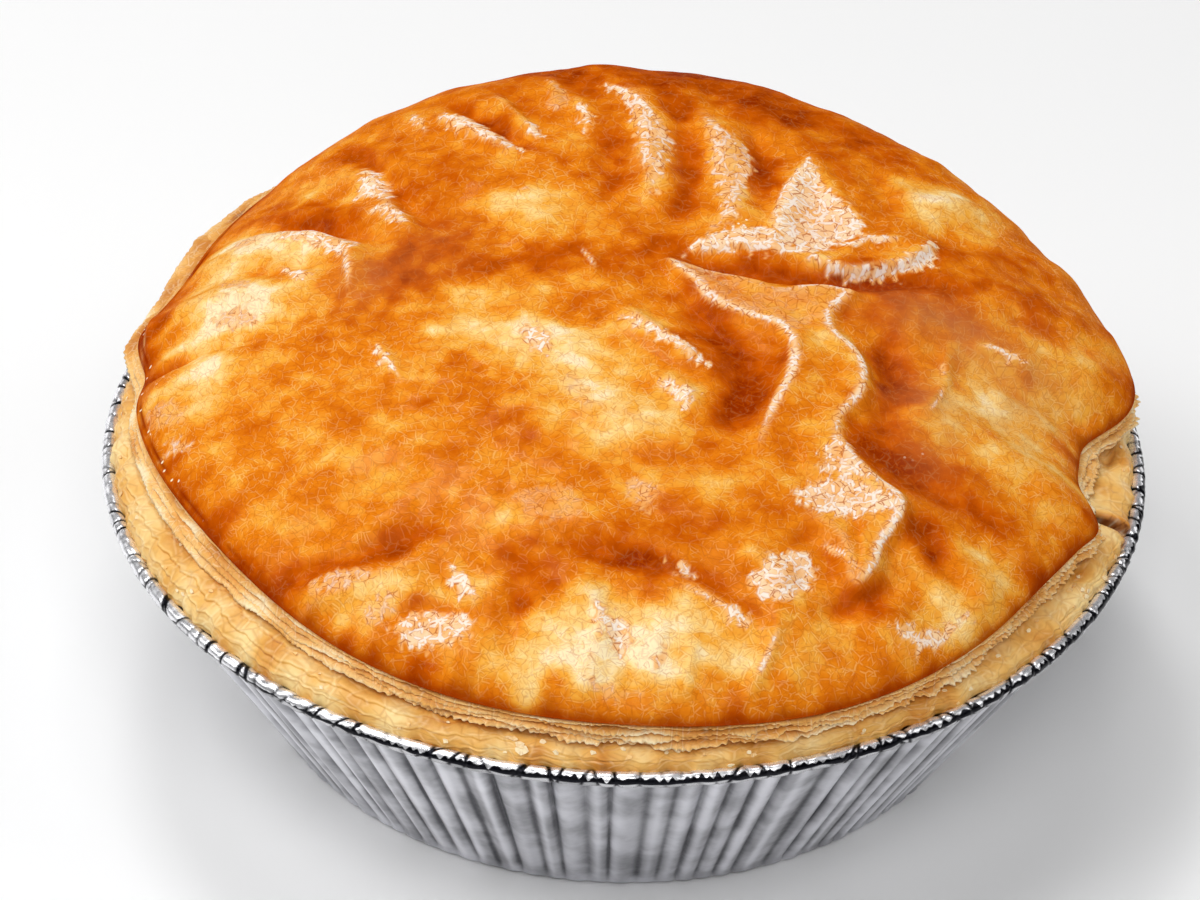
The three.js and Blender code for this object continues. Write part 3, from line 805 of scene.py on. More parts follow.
def lid_grid():
    """Square grid bent onto the round lid: a square ring becomes a circle, and each of its sides an eighth
    of a turn to both sides of its middle. Gives the angle and the ring's place from 0 to 1."""
    side = np.linspace(-1, 1, LID_CELLS + 1)
    across, along = np.meshgrid(side, side, indexing="ij")
    sideways = abs(across) >= abs(along)
    longer = np.where(sideways, across, along)
    shorter = np.where(sideways, along, across)
    turn = math.pi / 4 * shorter / np.where(longer == 0, 1, longer)
    angle = np.where(sideways, turn, math.pi / 2 - turn) + np.where(longer < 0, math.pi, 0)
    return angle, abs(longer)


def lid_base(angle, place):
    """Smooth lid surface: rings crowd towards the edge, and the last few roll over it and down. Gives the
    points and each ring's share of the radius."""
    lip_start = 1 - 2 * LIP_RINGS / LID_CELLS
    share = 1 - (1 - np.minimum(place / lip_start, 1)) ** RING_CROWDING
    lip = np.clip((place - lip_start) / (1 - lip_start), 0, 1)
    radius = share * glaze_radius(angle) + LIP_BULGE * np.sin(math.pi * lip)
    height = dome_height(angle, share) - LIP_DROP * lip
    return np.stack([radius * np.cos(angle), radius * np.sin(angle), height], axis=-1), share


def grid_normals(points):
    """Unit normals of a grid of points, across its two directions."""
    normal = np.cross(np.gradient(points, axis=0), np.gradient(points, axis=1))
    return normal / np.maximum(np.linalg.norm(normal, axis=-1, keepdims=True), TINY)


def browning_and_shade(x, y, from_edge, hollows):
    """How dark the glaze is, about 0 to 1, from baking with painted shade and light: more in hollows, towards
    the back and at the edge, in patches with wandering outlines and in mottles."""
    reach = EDGE_BAKE_REACH * (1 + swell(np.arctan2(y, x), EDGE_BAKES))
    total = GLAZE_BAKE + HOLLOW_BAKE_AND_SHADE * np.clip(-hollows, -0.5, 1.5) + BACK_BAKE * smooth_step(y, *BACK_SPAN)
    total += EDGE_BAKE * np.exp(-from_edge / reach)
    wander_x = OVAL_WANDER * ripples(x, y, OVAL_WANDER_LENGTH, 43)
    wander_y = OVAL_WANDER * ripples(x, y, OVAL_WANDER_LENGTH, 44)
    total += ovals(x + wander_x, y + wander_y, BROWNED_AND_SHADED_OVALS)
    total += ripple_sum(x, y, BAKE_MOTTLES)
    return np.clip(total, 0, 1)


def edge_lips(angle):
    """How much of a lip the glazed edge has, from 0 to 1."""
    return np.clip(swell(angle, EDGE_LIPS), 0, 1)


def glaze_relief(x, y, angle, share, rim_gap, folds, raised):
    """Rise of the glazed top from the smooth lid: folds and pleats, lower at the back, the tongue, ripples
    and crumpled facets, which all fade out at the edge, and a lip along part of the edge."""
    at_back = smooth_step(share, *BACK_SHARES) * smooth_step(np.sin(angle), *BACK_SINES)
    relief = (folds + pleat_relief(angle, share)) * (1 - BACK_LEVELLING * at_back) + raised
    relief += ripple_sum(x, y, GLAZE_RIPPLES)
    for rise, size, seed in GLAZE_FACETS:
        relief += rise * crumple(x, y, size, seed)
    lip = LIP_RISE * edge_lips(angle) * bell(rim_gap - LIP_PLACE, LIP_REACH)
    return relief * (1 - smooth_step(share, *EDGE_FADE)) + lip


def edge_shade(angle, rim_gap, from_edge):
    """How much caramel the glazed edge shows: a line along the edge, narrower where there is a lip, and the
    broken groove behind the lip."""
    lips = edge_lips(angle)
    reach = LIP_SHADE_REACH * (1 + 0.6 * swell(angle, EDGE_BAKES)) * (1 - 0.65 * lips)
    broken = np.clip(0.75 + 0.5 * ring_noise(angle, 14, 60, 47), 0.2, 1)
    groove = GROOVE_SHADE * lips * broken * bell(rim_gap - GROOVE_PLACE, GROOVE_REACH)
    return np.maximum(groove, LIP_SHADE * bell(from_edge, reach))


def glaze_layers(base, angle, rim_gap, hollows, crests):
    """Values that the glaze's colours follow: how dark it is baked, with painted shade and light, how strong
    its painted highlights are, its caramel edge, where glints are painted along the edge, its painted hazy
    reflection, and the lid laid out flat in metres, drawn wider the further it falls."""
    x = base[..., 0]
    y = base[..., 1]
    from_edge = rim_gap * np.clip(1 + 0.3 * ring_noise(angle, 20, 90, 46), 0.5, 1.7)
    fall = np.maximum(0, LID_TOP_HEIGHT - base[..., 2])
    spread = 1 + 0.7 * fall / np.maximum(np.hypot(x, y), 1)
    return {
        "browning_and_shade": browning_and_shade(x, y, from_edge, hollows),
        # Painted highlights: pale patches, crests and glints
        "highlight_paint": painted_highlights(x, y, crests),
        "edge": edge_shade(angle, rim_gap, from_edge),
        "gleam": GLEAM * edge_lips(angle) * bell(rim_gap - GROOVE_PLACE, GLEAM_REACH),
        "painted_haze": ovals(x, y, HAZE_REFLECTION_OVALS),
        "sheet": np.stack([x * spread, y * spread, np.zeros_like(x)], axis=-1) * MM,
    }


def glaze_underside(number, angle):
    """Plain underside that closes the glazed top: rings a skin's thickness below the smooth lid, from the
    top's edge in to a pole. Gives the points and the faces."""
    rim = np.concatenate([number[:-1, 0], number[-1, :-1], number[:0:-1, -1], number[0, :0:-1]])
    turn = angle.ravel()[rim]
    rows = [(share * glaze_radius(turn), dome_height(turn, share) - GLAZE_SKIN) for share in UNDER_SHARES]
    under = turned_points(turn, rows).reshape(-1, 3)
    rings = np.concatenate([rim, number.size + np.arange(len(under))]).reshape(-1, len(rim))
    outer = rings[:-1]
    inner = rings[1:]
    corners = [outer, inner, np.roll(inner, -1, axis=1), np.roll(outer, -1, axis=1)]
    closing = fan_faces(rings[-1], number.size + len(under), upwards=False)
    points = np.concatenate([under, [[0, 0, LID_TOP_HEIGHT - GLAZE_SKIN]]])
    return points, [np.stack(corners, axis=-1).reshape(-1, 4), closing]


def build_lid_glaze(material):
    """Glazed top: the smooth lid moved along its normals by its relief, closed by a plain underside."""
    angle, place = lid_grid()
    base, share = lid_base(angle, place)
    x = base[..., 0]
    y = base[..., 1]
    rim_gap = np.hypot(glaze_radius(angle) - np.hypot(x, y), base[..., 2] - edge_height(angle) + LIP_DROP)
    folds, fold_crests = fold_relief(x, y)
    raised, tongue_crest = tongue_relief(x, y)
    # Highlights painted along the crests of the folds and the tongue
    crests = np.maximum(FOLD_CREST_HIGHLIGHT * fold_crests, TONGUE_CREST_HIGHLIGHT * tongue_crest)
    hollows = folds + 0.5 * raised - 0.3
    relief = glaze_relief(x, y, angle, share, rim_gap, folds, raised)
    top = base + grid_normals(base) * relief[..., None]
    number = np.arange(place.size).reshape(place.shape)
    cells = np.stack([number[:-1, :-1], number[1:, :-1], number[1:, 1:], number[:-1, 1:]], axis=-1)
    under, under_faces = glaze_underside(number, angle)
    layers = {}
    for label, values in glaze_layers(base, angle, rim_gap, hollows, crests).items():
        shape = values.shape[2:]
        layers[label] = np.concatenate([values.reshape(-1, *shape), np.zeros((len(under), *shape))])
    points = np.concatenate([top.reshape(-1, 3), under])
    faces = [cells.reshape(-1, 4), *under_faces]
    return add_piece("lid_glaze", points, faces, material, "pastry_lid", layers)


def torn_edge(angle, seed, depth):
    """Torn edge: tabs with steep ends, scallops and small teeth, with sharp nicks that cut inwards."""
    tabs = np.tanh(3 * ring_noise(angle, 10, 34, seed))
    scallops = ring_noise(angle, 60, 130, seed + 1)
    teeth = ring_noise(angle, 250, 620, seed + 2)
    nicks = np.maximum(0, ring_noise(angle, 90, 220, seed + 4) - 1.2)
    outwards = TEAR_TABS * tabs + TEAR_SCALLOPS * scallops + TEAR_TEETH * teeth
    return depth * (outwards - TEAR_NICKS * nicks)


def leaf_rows(angle, leaf):
    """Closed section of one leaf, from its tucked inner edge out along its underside, round its torn,
    drooping edge and back along its top. It thins to that edge, and a lower leaf reaches further out."""
    share = (leaf + 0.5) / LEAVES
    glaze = glaze_radius(angle)
    fan = (LEAF_SPREAD + swell(angle, LEAF_FANS)) * share
    closed = swell(angle, LEAF_CLOSINGS)
    torn = 1 - 0.75 * np.clip(closed, 0, 1)
    drop = lerp(LIP_DROP, LID_THICKNESS - 0.1, share) * (1 - swell(angle, LEAF_LEVELLINGS))
    sag = swell(angle, LEAF_SAGS) * share
    waves = LEAF_WAVE * np.tanh(2 * ring_noise(angle, 6, 34, 60 + leaf))
    level = edge_height(angle) - drop - sag + waves
    inner = glaze - LEAF_TUCK
    outer = glaze + fan - 0.1 + torn * torn_edge(angle, 70 + 10 * leaf, lerp(*LEAF_TEARS, share))
    unevenness = np.clip(0.8 + 0.6 * ring_noise(angle, 14, 60, 130 + leaf), 0.0, 2.0)
    droop = LEAF_DROOP * unevenness + 0.12 * fan
    half = LEAF_THICKNESS / 2 * (1 + 0.5 * closed)
    lower = []
    upper = []
    for span, fall, thick in LEAF_SPANS:
        radius = lerp(inner, outer, span)
        lower.append((radius, level - fall * droop - thick * half))
        upper.append((radius, level - fall * droop + thick * half))
    return lower + [(outer, level - droop)] + upper[::-1]


def build_lid_leaves(material):
    """Torn leaves under the glazed edge: rings of fine sheet one under another, which fan out as they go
    down, and part and close again round the pie."""
    angle = np.linspace(0, FULL_TURN, LEAF_COLUMNS, endpoint=False)
    # Painted shade inside, between the leaves, and painted light at the torn edge, along each leaf's section
    along_section = np.array(LEAF_SECTION_SHADING)[:, None]
    points = []
    faces = []
    bake_and_shading = []
    for leaf in range(LEAVES):
        rows = leaf_rows(angle, leaf)
        first = leaf * len(rows) * LEAF_COLUMNS
        faces.append(ring_faces(len(rows), LEAF_COLUMNS, closed_section=True) + first)
        points.append(turned_points(angle, rows).reshape(-1, 3))
        tone = lerp(*LEAF_TONES, (leaf + 0.5) / LEAVES) + swell(angle, LEAF_BAKES)
        tone += 0.1 * ring_noise(angle, 8, 40, 150 + leaf)
        bake_and_shading.append(np.clip(tone + along_section, 0, 1).ravel())
    points = np.concatenate(points)
    layers = {"bake_and_shading": np.concatenate(bake_and_shading)}
    return add_piece("lid_leaves", points, faces, material, "pastry_lid", layers)


def crack_relief(angle):
    """Crack through the crust's rim, between lips that stand out."""
    gap = way_round(angle, CRACK_PLACE, CRUST_RADIUS)
    lips = CRACK_LIP_RISE * bell(abs(gap) - CRACK_LIP_PLACE, CRACK_LIP_REACH)
    return lips - CRACK_DEPTH * bell(gap, CRACK_HALF)


def layer_step(inwards):
    """Rise of a shingled layer: up over its torn edge, then thinning inwards to the next one's edge."""
    thinning = np.clip((1 - inwards) / (1 - LAYER_EDGE), 0, 1) ** LAYER_THINNING
    return np.where(inwards < LAYER_EDGE, smooth_step(inwards, 0, LAYER_EDGE), thinning)


def crust_rows(angle):
    """Crust's rim from the rolled rim up and in to the lid: a rounded slope that bulges outwards, with
    shingled layers. Each layer is thickest at its torn outer edge and thins inwards to the next one's edge.
    Also gives, with each row, where a layer's edge is shaded (positive) or catches light."""
    outer = CRUST_OUTER + ring_sum(angle, CRUST_UNEVENNESS)
    inner = glaze_radius(angle) - CRUST_TUCK
    gap = CLEARANCE * (1 - 0.9 * np.clip(swell(angle, LEAF_CLOSINGS), 0, 1))
    top = np.minimum(crust_top(angle), edge_height(angle) - LID_THICKNESS - gap)
    square = swell(angle, CRUST_SQUARINGS)
    layers = LAYER_COUNT + LAYERS_PER_LEDGE * np.clip(outer - inner - LAYERED_LEDGE, 0, WIDEST_LEDGE)
    wobble = ring_sum(angle, LAYER_WOBBLE)
    tread = CRUST_STEP * (1 + swell(angle, CRUST_TREADS))
    fold_place = CRUST_FOLD_PLACE + 0.05 * ring_noise(angle, 3, 12, 206)
    fold_depth = CRUST_FOLD_DEPTH * smooth_step(ring_noise(angle, 4, 14, 207), -0.6, 0.5)
    crack = crack_relief(angle)
    from_hollow = way_round(angle, HOLLOW_PLACE, HOLLOW_RADIUS)
    rows = []
    for row in range(CRUST_ROWS):
        share = row / (CRUST_ROWS - 1)
        swing = share * math.pi / 2
        radius = lerp(inner, outer, math.cos(swing) ** lerp(*CRUST_OUT_POWERS, square))
        height = lerp(CRUST_FOOT, top, math.sin(swing) ** lerp(*CRUST_UP_POWERS, square))
        number = share * layers + wobble
        inwards = number - np.floor(number)
        arch = math.sin(math.pi * share)
        bulge = tread * layer_step(inwards) * arch ** 0.5
        bulge += CRUST_WAVE * ring_noise(angle + 0.03 * share, 12, 60, 204) * arch
        bulge -= fold_depth * bell(share - fold_place, CRUST_FOLD_REACH)
        bulge += crack * smooth_step(share, 0.0, 0.3)
        hollow = bell(from_hollow, HOLLOW_REACH[0]) * bell(radius - HOLLOW_RADIUS, HOLLOW_REACH[1])
        height = height + bulge * math.sin(swing) - HOLLOW_DEPTH * hollow
        line = bell(inwards - 0.04, 0.06) - 0.6 * bell(inwards - 0.2, 0.08)
        rows.append((radius + bulge * math.cos(swing), height, line))
    return rows


def crust_bake_and_shade(points, lines):
    """How dark the crust is painted: baked and cloudy, with painted shade and light along its layers' edges,
    and painted shade in the crack.
    """
    x, y, height = points.T
    angle = np.arctan2(y, x)
    # Painted shade deep in the crack
    crack = bell(way_round(angle, CRACK_PLACE, CRUST_RADIUS), 1.5 * CRACK_HALF)
    crack *= smooth_step(height, CRUST_FOOT - 4, CRUST_FOOT - 3)
    # Painted shade and light along the layers' edges
    edges = lines * (0.1 + 0.08 * swell(angle, CRUST_TREADS))
    total = CRUST_BAKE + CRUST_CLOUD * ripples(x, y, 8, 281) + swell(angle, CRUST_BAKES) + edges
    return np.clip(total + CRACK_SHADE * crack, 0, 1)


def crust_sheet(angle, rows):
    """Crust laid out flat in metres: the way round it, and the way up its mean section."""
    section = np.array([[np.mean(row[0]), np.mean(row[1])] for row in rows])
    _, reached = path_lengths(section)
    across, along = np.meshgrid(angle * CRUST_RADIUS, reached)
    flat = np.stack([across, along, np.zeros_like(across)], axis=-1).reshape(-1, 3)
    return np.concatenate([flat, np.zeros((2, 3))]) * MM


def build_crust(material):
    """Lower crust: it fills the tin, and its layered rim shows under the lid, with a hollow where the lid
    has drawn back and a crack through the rim."""
    angle = np.linspace(0, FULL_TURN, CRUST_COLUMNS, endpoint=False) + math.pi / 2
    glaze = glaze_radius(angle)
    floor = FOIL + CLEARANCE
    wall_gap = 2 * FOIL + FLUTE_DEPTH + CLEARANCE
    skin = LID_THICKNESS + CLEARANCE
    low_rows = [
        (0.6 * BASE_RADIUS, floor),
        (BASE_RADIUS - wall_gap, floor),
        (BASE_RADIUS + CORNER_RUN - wall_gap, CORNER_RISE + floor),
        (WALL_TOP_RADIUS - wall_gap, WALL_TOP_HEIGHT),
    ]
    rim_rows = crust_rows(angle)
    under_rows = [(share * glaze, dome_height(angle, share) - skin) for share in (0.9, 0.75, 0.5, 0.25)]
    rows = low_rows + rim_rows + under_rows
    points, faces = turned_piece(angle, rows, floor, LID_TOP_HEIGHT - skin)
    x, y, height = points.T
    lumps = CRUST_LUMP * ripples(x + height, y - height, 2.4, 271)
    points[:, 2] += lumps * smooth_step(height, CRUST_FOOT, CRUST_FOOT + 0.5)
    lines = np.zeros(len(points))
    first = len(low_rows) * CRUST_COLUMNS
    lines[first:first + CRUST_ROWS * CRUST_COLUMNS] = np.concatenate([row[2] for row in rim_rows])
    layers = {"bake_and_shading": crust_bake_and_shade(points, lines), "sheet": crust_sheet(angle, rows)}
    return add_piece("crust", points, faces, material, "pastry_case", layers)


def flake_faces(number):
    """Faces of a number of plates, each two rings of corners and then its lower and upper pole."""
    corner = np.arange(FLAKE_CORNERS)
    first = np.arange(number)[:, None] * 2 * (FLAKE_CORNERS + 1)
    low = first + corner
    next_low = first + (corner + 1) % FLAKE_CORNERS
    pole = np.broadcast_to(first + 2 * FLAKE_CORNERS, low.shape)
    sides = np.stack([low, next_low, next_low + FLAKE_CORNERS, low + FLAKE_CORNERS], axis=-1)
    bottoms = np.stack([next_low, low, pole], axis=-1)
    tops = np.stack([low + FLAKE_CORNERS, next_low + FLAKE_CORNERS, pole + 1], axis=-1)
    return [sides.reshape(-1, 4), bottoms.reshape(-1, 3), tops.reshape(-1, 3)]


def build_flakes(material):
    """Loose flakes: fine plates of uneven outline on the crust, each tilted a little from its slope."""
    draw = np.random.default_rng(501)
    angle = np.radians(np.concatenate([draw.normal(*row[:3]) for row in FLAKES]))
    number = len(angle)
    size = np.repeat([row[3] for row in FLAKES], [row[2] for row in FLAKES])
    size = size * draw.uniform(*FLAKE_SIZES, number)
    rows = crust_rows(angle)
    row = draw.integers(*FLAKE_ROWS, number)
    radius = np.stack([each[0] for each in rows])
    height = np.stack([each[1] for each in rows])
    flake = np.arange(number)
    run = radius[row + 2, flake] - radius[row - 2, flake]
    climb = height[row + 2, flake] - height[row - 2, flake]
    slope = np.arctan2(-run, climb) + draw.normal(0, FLAKE_TILT, number)
    outwards = np.stack([np.cos(angle), np.sin(angle), np.zeros(number)], axis=-1)
    round_pie = np.stack([-np.sin(angle), np.cos(angle), np.zeros(number)], axis=-1)
    upwards = np.array([0.0, 0.0, 1.0])
    normal = outwards * np.cos(slope)[:, None] + upwards * np.sin(slope)[:, None]
    uphill = np.cross(normal, round_pie)
    middle = outwards * radius[row, flake][:, None] + upwards * height[row, flake][:, None]
    middle = middle + normal * (FLAKE_THICKNESS * draw.uniform(*FLAKE_LIFTS, number))[:, None]
    jitter = draw.uniform(-FLAKE_JITTER, FLAKE_JITTER, (number, FLAKE_CORNERS))
    turn = FULL_TURN * (np.arange(FLAKE_CORNERS) + jitter) / FLAKE_CORNERS
    reach = size[:, None] / 2 * draw.uniform(*FLAKE_REACHES, (number, FLAKE_CORNERS))
    across = (reach * np.cos(turn))[..., None] * round_pie[:, None]
    along = (FLAKE_NARROWING * reach * np.sin(turn))[..., None] * uphill[:, None]
    lift = (normal * FLAKE_THICKNESS / 2)[:, None]
    middle = middle[:, None]
    outline = middle + across + along
    plates = np.concatenate([outline - lift, outline + lift, middle - lift, middle + lift], axis=1)
    layers = {"bake_and_shading": np.repeat(draw.uniform(*FLAKE_BAKES, number), plates.shape[1])}
    faces = flake_faces(number)
    return add_piece("flakes", plates, faces, material, attributes=layers, smooth=False)


def flute_wave(angle):
    """Irregular round flutes of the wall, which crowd, spread, deepen and flatten round the tin. Gives
    their wave from -1 in the valleys to 1 on the crests, and the count of flutes up to each place."""
    count = (FLUTES * angle + ring_sum(angle, FLUTE_DRIFT)) / FULL_TURN
    strength = np.clip(0.8 + 0.25 * ring_noise(angle, 9, 50, 303), 0.3, 1.3)
    return strength * (2 * np.abs(np.sin(math.pi * count)) ** 0.75 - 1), count


def foil_tone(count, share):
    """How bright the wall is painted at a share of its height: a soft painted highlight stroke down each
    flute at a place of its own, painted shade in the valleys between flutes, and in some of them a short
    streak of darker painted shade."""
    draw = np.random.default_rng(304).random((FLUTES, 7))
    own = draw[np.floor(count).astype(int) % FLUTES].T
    valley = draw[np.round(count).astype(int) % FLUTES].T
    part = count % 1
    stroke = bell(part - lerp(*STROKE_PLACES, own[0]), lerp(*STROKE_WIDTHS, own[1]))
    stroke *= lerp(*STROKE_TONES, own[2]) * (1 - 0.5 * abs(share - lerp(*STROKE_HEIGHTS, own[3])))
    gap = abs(part - np.round(part))
    crease = lerp(*VALLEY_TONES, valley[4]) * bell(gap, VALLEY_WIDTH)
    shade_streak = np.where(valley[5] < SHADE_STREAK_CHANCE, SHADE_STREAK_TONE, 0.0) * bell(gap, SHADE_STREAK_WIDTH)
    shade_streak *= bell(share - lerp(*SHADE_STREAK_HEIGHTS, valley[6]), SHADE_STREAK_LENGTH)
    return EVEN_TONE + stroke - crease - shade_streak


def wall_rows(angle, wave):
    """Rows of the foil dish: out along its foot, round the corner, up its fluted outside, over the plain
    collar and down its inside."""
    foot_radius = BASE_RADIUS + CORNER_RUN
    rows = [(0.55 * BASE_RADIUS, 0.0), (0.93 * BASE_RADIUS, 0.0)]
    for step in range(CORNER_STEPS):
        turn = math.pi / 2 * step / CORNER_STEPS
        depth = FLUTE_DEPTH * FOOT_FLUTE_SHARE * step / CORNER_STEPS
        radius = BASE_RADIUS + CORNER_RUN * math.sin(turn) + depth * wave
        rows.append((radius, CORNER_RISE * (1 - math.cos(turn))))
    low_dents = ring_noise(angle, 60, 240, 310)
    high_dents = ring_noise(angle, 60, 240, 311)
    for step in range(WALL_STEPS + 1):
        share = step / WALL_STEPS
        depth = FLUTE_DEPTH * lerp(FOOT_FLUTE_SHARE, 1, share ** 0.8)
        dents = WALL_DENT * lerp(low_dents, high_dents, share)
        radius = lerp(foot_radius, WALL_TOP_RADIUS, share) + depth * wave + dents * share
        rows.append((radius, lerp(CORNER_RISE, WALL_TOP_HEIGHT, share)))
    for share in (0.3, 0.7, 1.0):
        radius = lerp(WALL_TOP_RADIUS + 0.3, COLLAR_RADIUS, share) + (1 - share) * FLUTE_DEPTH * wave
        rows.append((radius, lerp(WALL_TOP_HEIGHT, COLLAR_HEIGHT, share ** 0.5)))
    rows.append((COLLAR_RADIUS + 0.1, RIM_HEIGHT - 0.5))
    rows.append((COLLAR_RADIUS - 0.1, RIM_HEIGHT))
    for share in (1.0, 0.97, 0.7, 0.4, 0.1):
        depth = 0 if share == 1.0 else FLUTE_DEPTH * lerp(FOOT_FLUTE_SHARE, 1, share)
        radius = lerp(foot_radius, WALL_TOP_RADIUS, share) - 1.15 * FOIL + depth * wave
        rows.append((radius, lerp(CORNER_RISE, WALL_TOP_HEIGHT, share) + FOIL))
    rows.append((BASE_RADIUS - FOIL, FOIL))
    return rows


def build_tin_wall(material):
    """Foil dish: a flat foot, a fluted wall that leans out and a plain collar, closed by its inside. It is
    painted with its flutes' light and shade, but evenly on the foot and the collar."""
    angle = np.linspace(0, FULL_TURN, FLUTES * COLUMNS_PER_FLUTE, endpoint=False)
    wave, count = flute_wave(angle)
    rows = wall_rows(angle, wave)
    points, faces = turned_piece(angle, rows, 0.0, FOIL)
    tones = []
    for _, height in rows:
        share = height / WALL_TOP_HEIGHT
        fade = smooth_step(share, 0.0, 0.12) * (1 - smooth_step(share, 0.99, 1.03))
        tones.append(lerp(PLAIN_TONE, foil_tone(count, share), fade))
    layers = {"crest": np.concatenate([*tones, [EVEN_TONE, EVEN_TONE]])}
    return add_piece("tin_wall", points, faces, material, "foil_tin", layers)


def build_tin_rim(material):
    """Rolled rim: a tube round the tin whose radius is pinched by narrow creases at uneven steps, each
    slanting a little across the roll, and swollen between them. Carries a tone for each stretch, with painted
    shade in the creases, and how far each point lies above the two edges of the dark band of painted
    reflection that runs along the roll, the upper one toothed."""
    angle = np.linspace(0, FULL_TURN, BEAD_COLUMNS, endpoint=False)
    section = np.linspace(-math.pi, math.pi, BEAD_ROWS, endpoint=False)
    around, across = np.meshgrid(angle, section)
    draw = np.random.default_rng(401)
    jitter = draw.uniform(-CREASE_JITTER, CREASE_JITTER, BEAD_CREASES)
    places = FULL_TURN * (np.arange(BEAD_CREASES) + jitter) / BEAD_CREASES
    depths = draw.uniform(*CREASE_DEPTHS, BEAD_CREASES)
    slants = draw.normal(0, CREASE_SLANT, BEAD_CREASES)
    widths = draw.uniform(*CREASE_WIDTHS, BEAD_CREASES) / RIM_RADIUS
    tones = draw.uniform(*CREST_TONES, BEAD_CREASES)
    pinch = np.zeros_like(around)
    for place, depth, slant, width in zip(places, depths, slants, widths):
        pinch += depth * bell(shortest(around + slant * across - place), width)
    bumps = BEAD_BUMP * ring_noise(around + 0.01 * np.cos(across), 60, 200, 402)
    tube = BEAD_RADIUS - pinch + bumps
    out = RIM_RADIUS - BEAD_RADIUS + tube * np.cos(across)
    points = turned_points(angle, list(zip(out, RIM_HEIGHT + tube * np.sin(across))))
    faces = [ring_faces(BEAD_ROWS, BEAD_COLUMNS, closed_section=True)]
    # Dark band of painted reflection along the roll, narrower at the sides
    shade = swell(around, BEAD_SHADES)
    teeth = ring_sum(around, BAND_TEETH) * (1 + 1.6 * np.minimum(shade, 0))
    tone = tones[np.searchsorted(places, around) % BEAD_CREASES]
    layers = {
        "crest": (tone - CREASE_SHADE * pinch).ravel(),
        "upper": (across - BAND_TOP - shade - teeth).ravel(),
        "lower": (across - BAND_FOOT - 0.1 * ring_noise(around, 20, 120, 404)).ravel(),
    }
    return add_piece("tin_rim", points, faces, material, "foil_tin", layers)


# Crinkles in the skin: the heading, length and width in metres of each set of cells, how many of the sets
# have flat tones, bends to the metre, how far they bend the cells in metres, how often a crinkle breaks off
# to the metre, and how wide it is as a share of its cell
CRINKLE_CELLS = [(0.35, 0.0021, 0.0013), (1.45, 0.0024, 0.0013), (2.5, 0.0019, 0.0012)]
CRINKLE_TONED = 2
CRINKLE_BENDS = 480.0
CRINKLE_BEND = 0.0007
CRINKLE_BREAKS = 800.0
CRINKLE_HALF = 0.09

# Range that noise mostly keeps to, and the socket of a group that reads a place
NOISE_SPAN = (0.3, 0.7)
PLACE_SOCKET = {"Vector": "NodeSocketVector"}

# Colours as a picture shows them, from 0 to 255. Browns go from pale to dark, each after its place
GLAZE_BROWNS = [
    (0.0, (255, 234, 188)),
    (0.13, (253, 210, 128)),
    (0.29, (246, 172, 62)),
    (0.47, (233, 132, 22)),
    (0.72, (200, 88, 3)),
    (1.0, (146, 46, 0)),
]
# Painted shade and painted light of the glaze's crinkles
GLAZE_SHADE_LINE = (190, 84, 6)
GLAZE_LIGHT_LINE = (255, 222, 146)
GLAZE_FRECKLE = (150, 50, 1)
# Colour of the painted hazy reflection
GLAZE_HAZE_REFLECTION = (180, 112, 70)
# Painted highlights: peach ground, pale ground, the dark lines that break them and white strokes
HIGHLIGHT_PEACH = (244, 176, 100)
HIGHLIGHT_PALE = (254, 222, 180)
HIGHLIGHT_GAP_LINE = (182, 84, 20)
HIGHLIGHT_STROKE = (255, 248, 238)
CARAMEL = (138, 38, 1)
# Colour of the painted glints
GLINT_SPECK = (255, 236, 200)
LEAF_BROWNS = [
    (0.0, (255, 234, 188)),
    (0.16, (252, 206, 132)),
    (0.38, (240, 177, 90)),
    (0.7, (208, 130, 48)),
    (1.0, (140, 64, 12)),
]
# Painted light and shade of the leaves' crinkles
LEAF_LIGHT_LINE = (255, 242, 206)
LEAF_SHADE_LINE = (188, 112, 42)
CRUST_BROWNS = [
    (0.0, (252, 220, 152)),
    (0.35, (241, 186, 98)),
    (0.7, (216, 142, 52)),
    (1.0, (110, 52, 12)),
]
# Painted light and shade of the crust's crinkles
CRUST_LIGHT_LINE = (255, 236, 190)
CRUST_SHADE_LINE = (196, 128, 54)
FLOOR_TONES = ((250, 250, 250), (254, 254, 254))

# Foil of the wall and of the rolled rim: dark and bright tone of its painted shade and light, how much its
# tone varies, how metallic and how rough it is, the depth of its dents in metres, and whether a dark band of
# painted reflection runs along it
WALL_FOIL = {
    "tones": ((70, 70, 76), (244, 244, 250)),
    "unevenness": 0.14,
    "metallic": 1.0,
    "rough": (0.3, 0.42),
    "depth": 0.0002,
    "banded": False,
}
RIM_FOIL = {
    "tones": ((8, 8, 18), (250, 250, 254)),
    "unevenness": 0.06,
    "metallic": 0.75,
    "rough": (0.22, 0.34),
    "depth": 0.0001,
    "banded": True,
}


def linear(red, green, blue):
    """Colour as a shader takes it, from 0 to 255 values as a picture shows them."""
    shown = np.array([red, green, blue]) / 255
    light = np.where(shown <= 0.04045, shown / 12.92, ((shown + 0.055) / 1.055) ** 2.4)
    return (*light.tolist(), 1.0)


def set_inputs(tree, node, inputs):
    """Sets a node's inputs, each to a plain value or linked to an output."""
    for name, value in inputs.items():
        if isinstance(value, bpy.types.NodeSocket):
            tree.links.new(value, node.inputs[name])
        else:
            node.inputs[name].default_value = value


def add_node(tree, kind, inputs=None, **settings):
    """New node with its settings and inputs."""
    node = tree.nodes.new(kind)
    for name, value in settings.items():
        setattr(node, name, value)
    set_inputs(tree, node, inputs or {})
    return node


def calculate(tree, operation, *values):
    """Output of one Math node."""
    return add_node(tree, "ShaderNodeMath", dict(enumerate(values)), operation=operation).outputs[0]


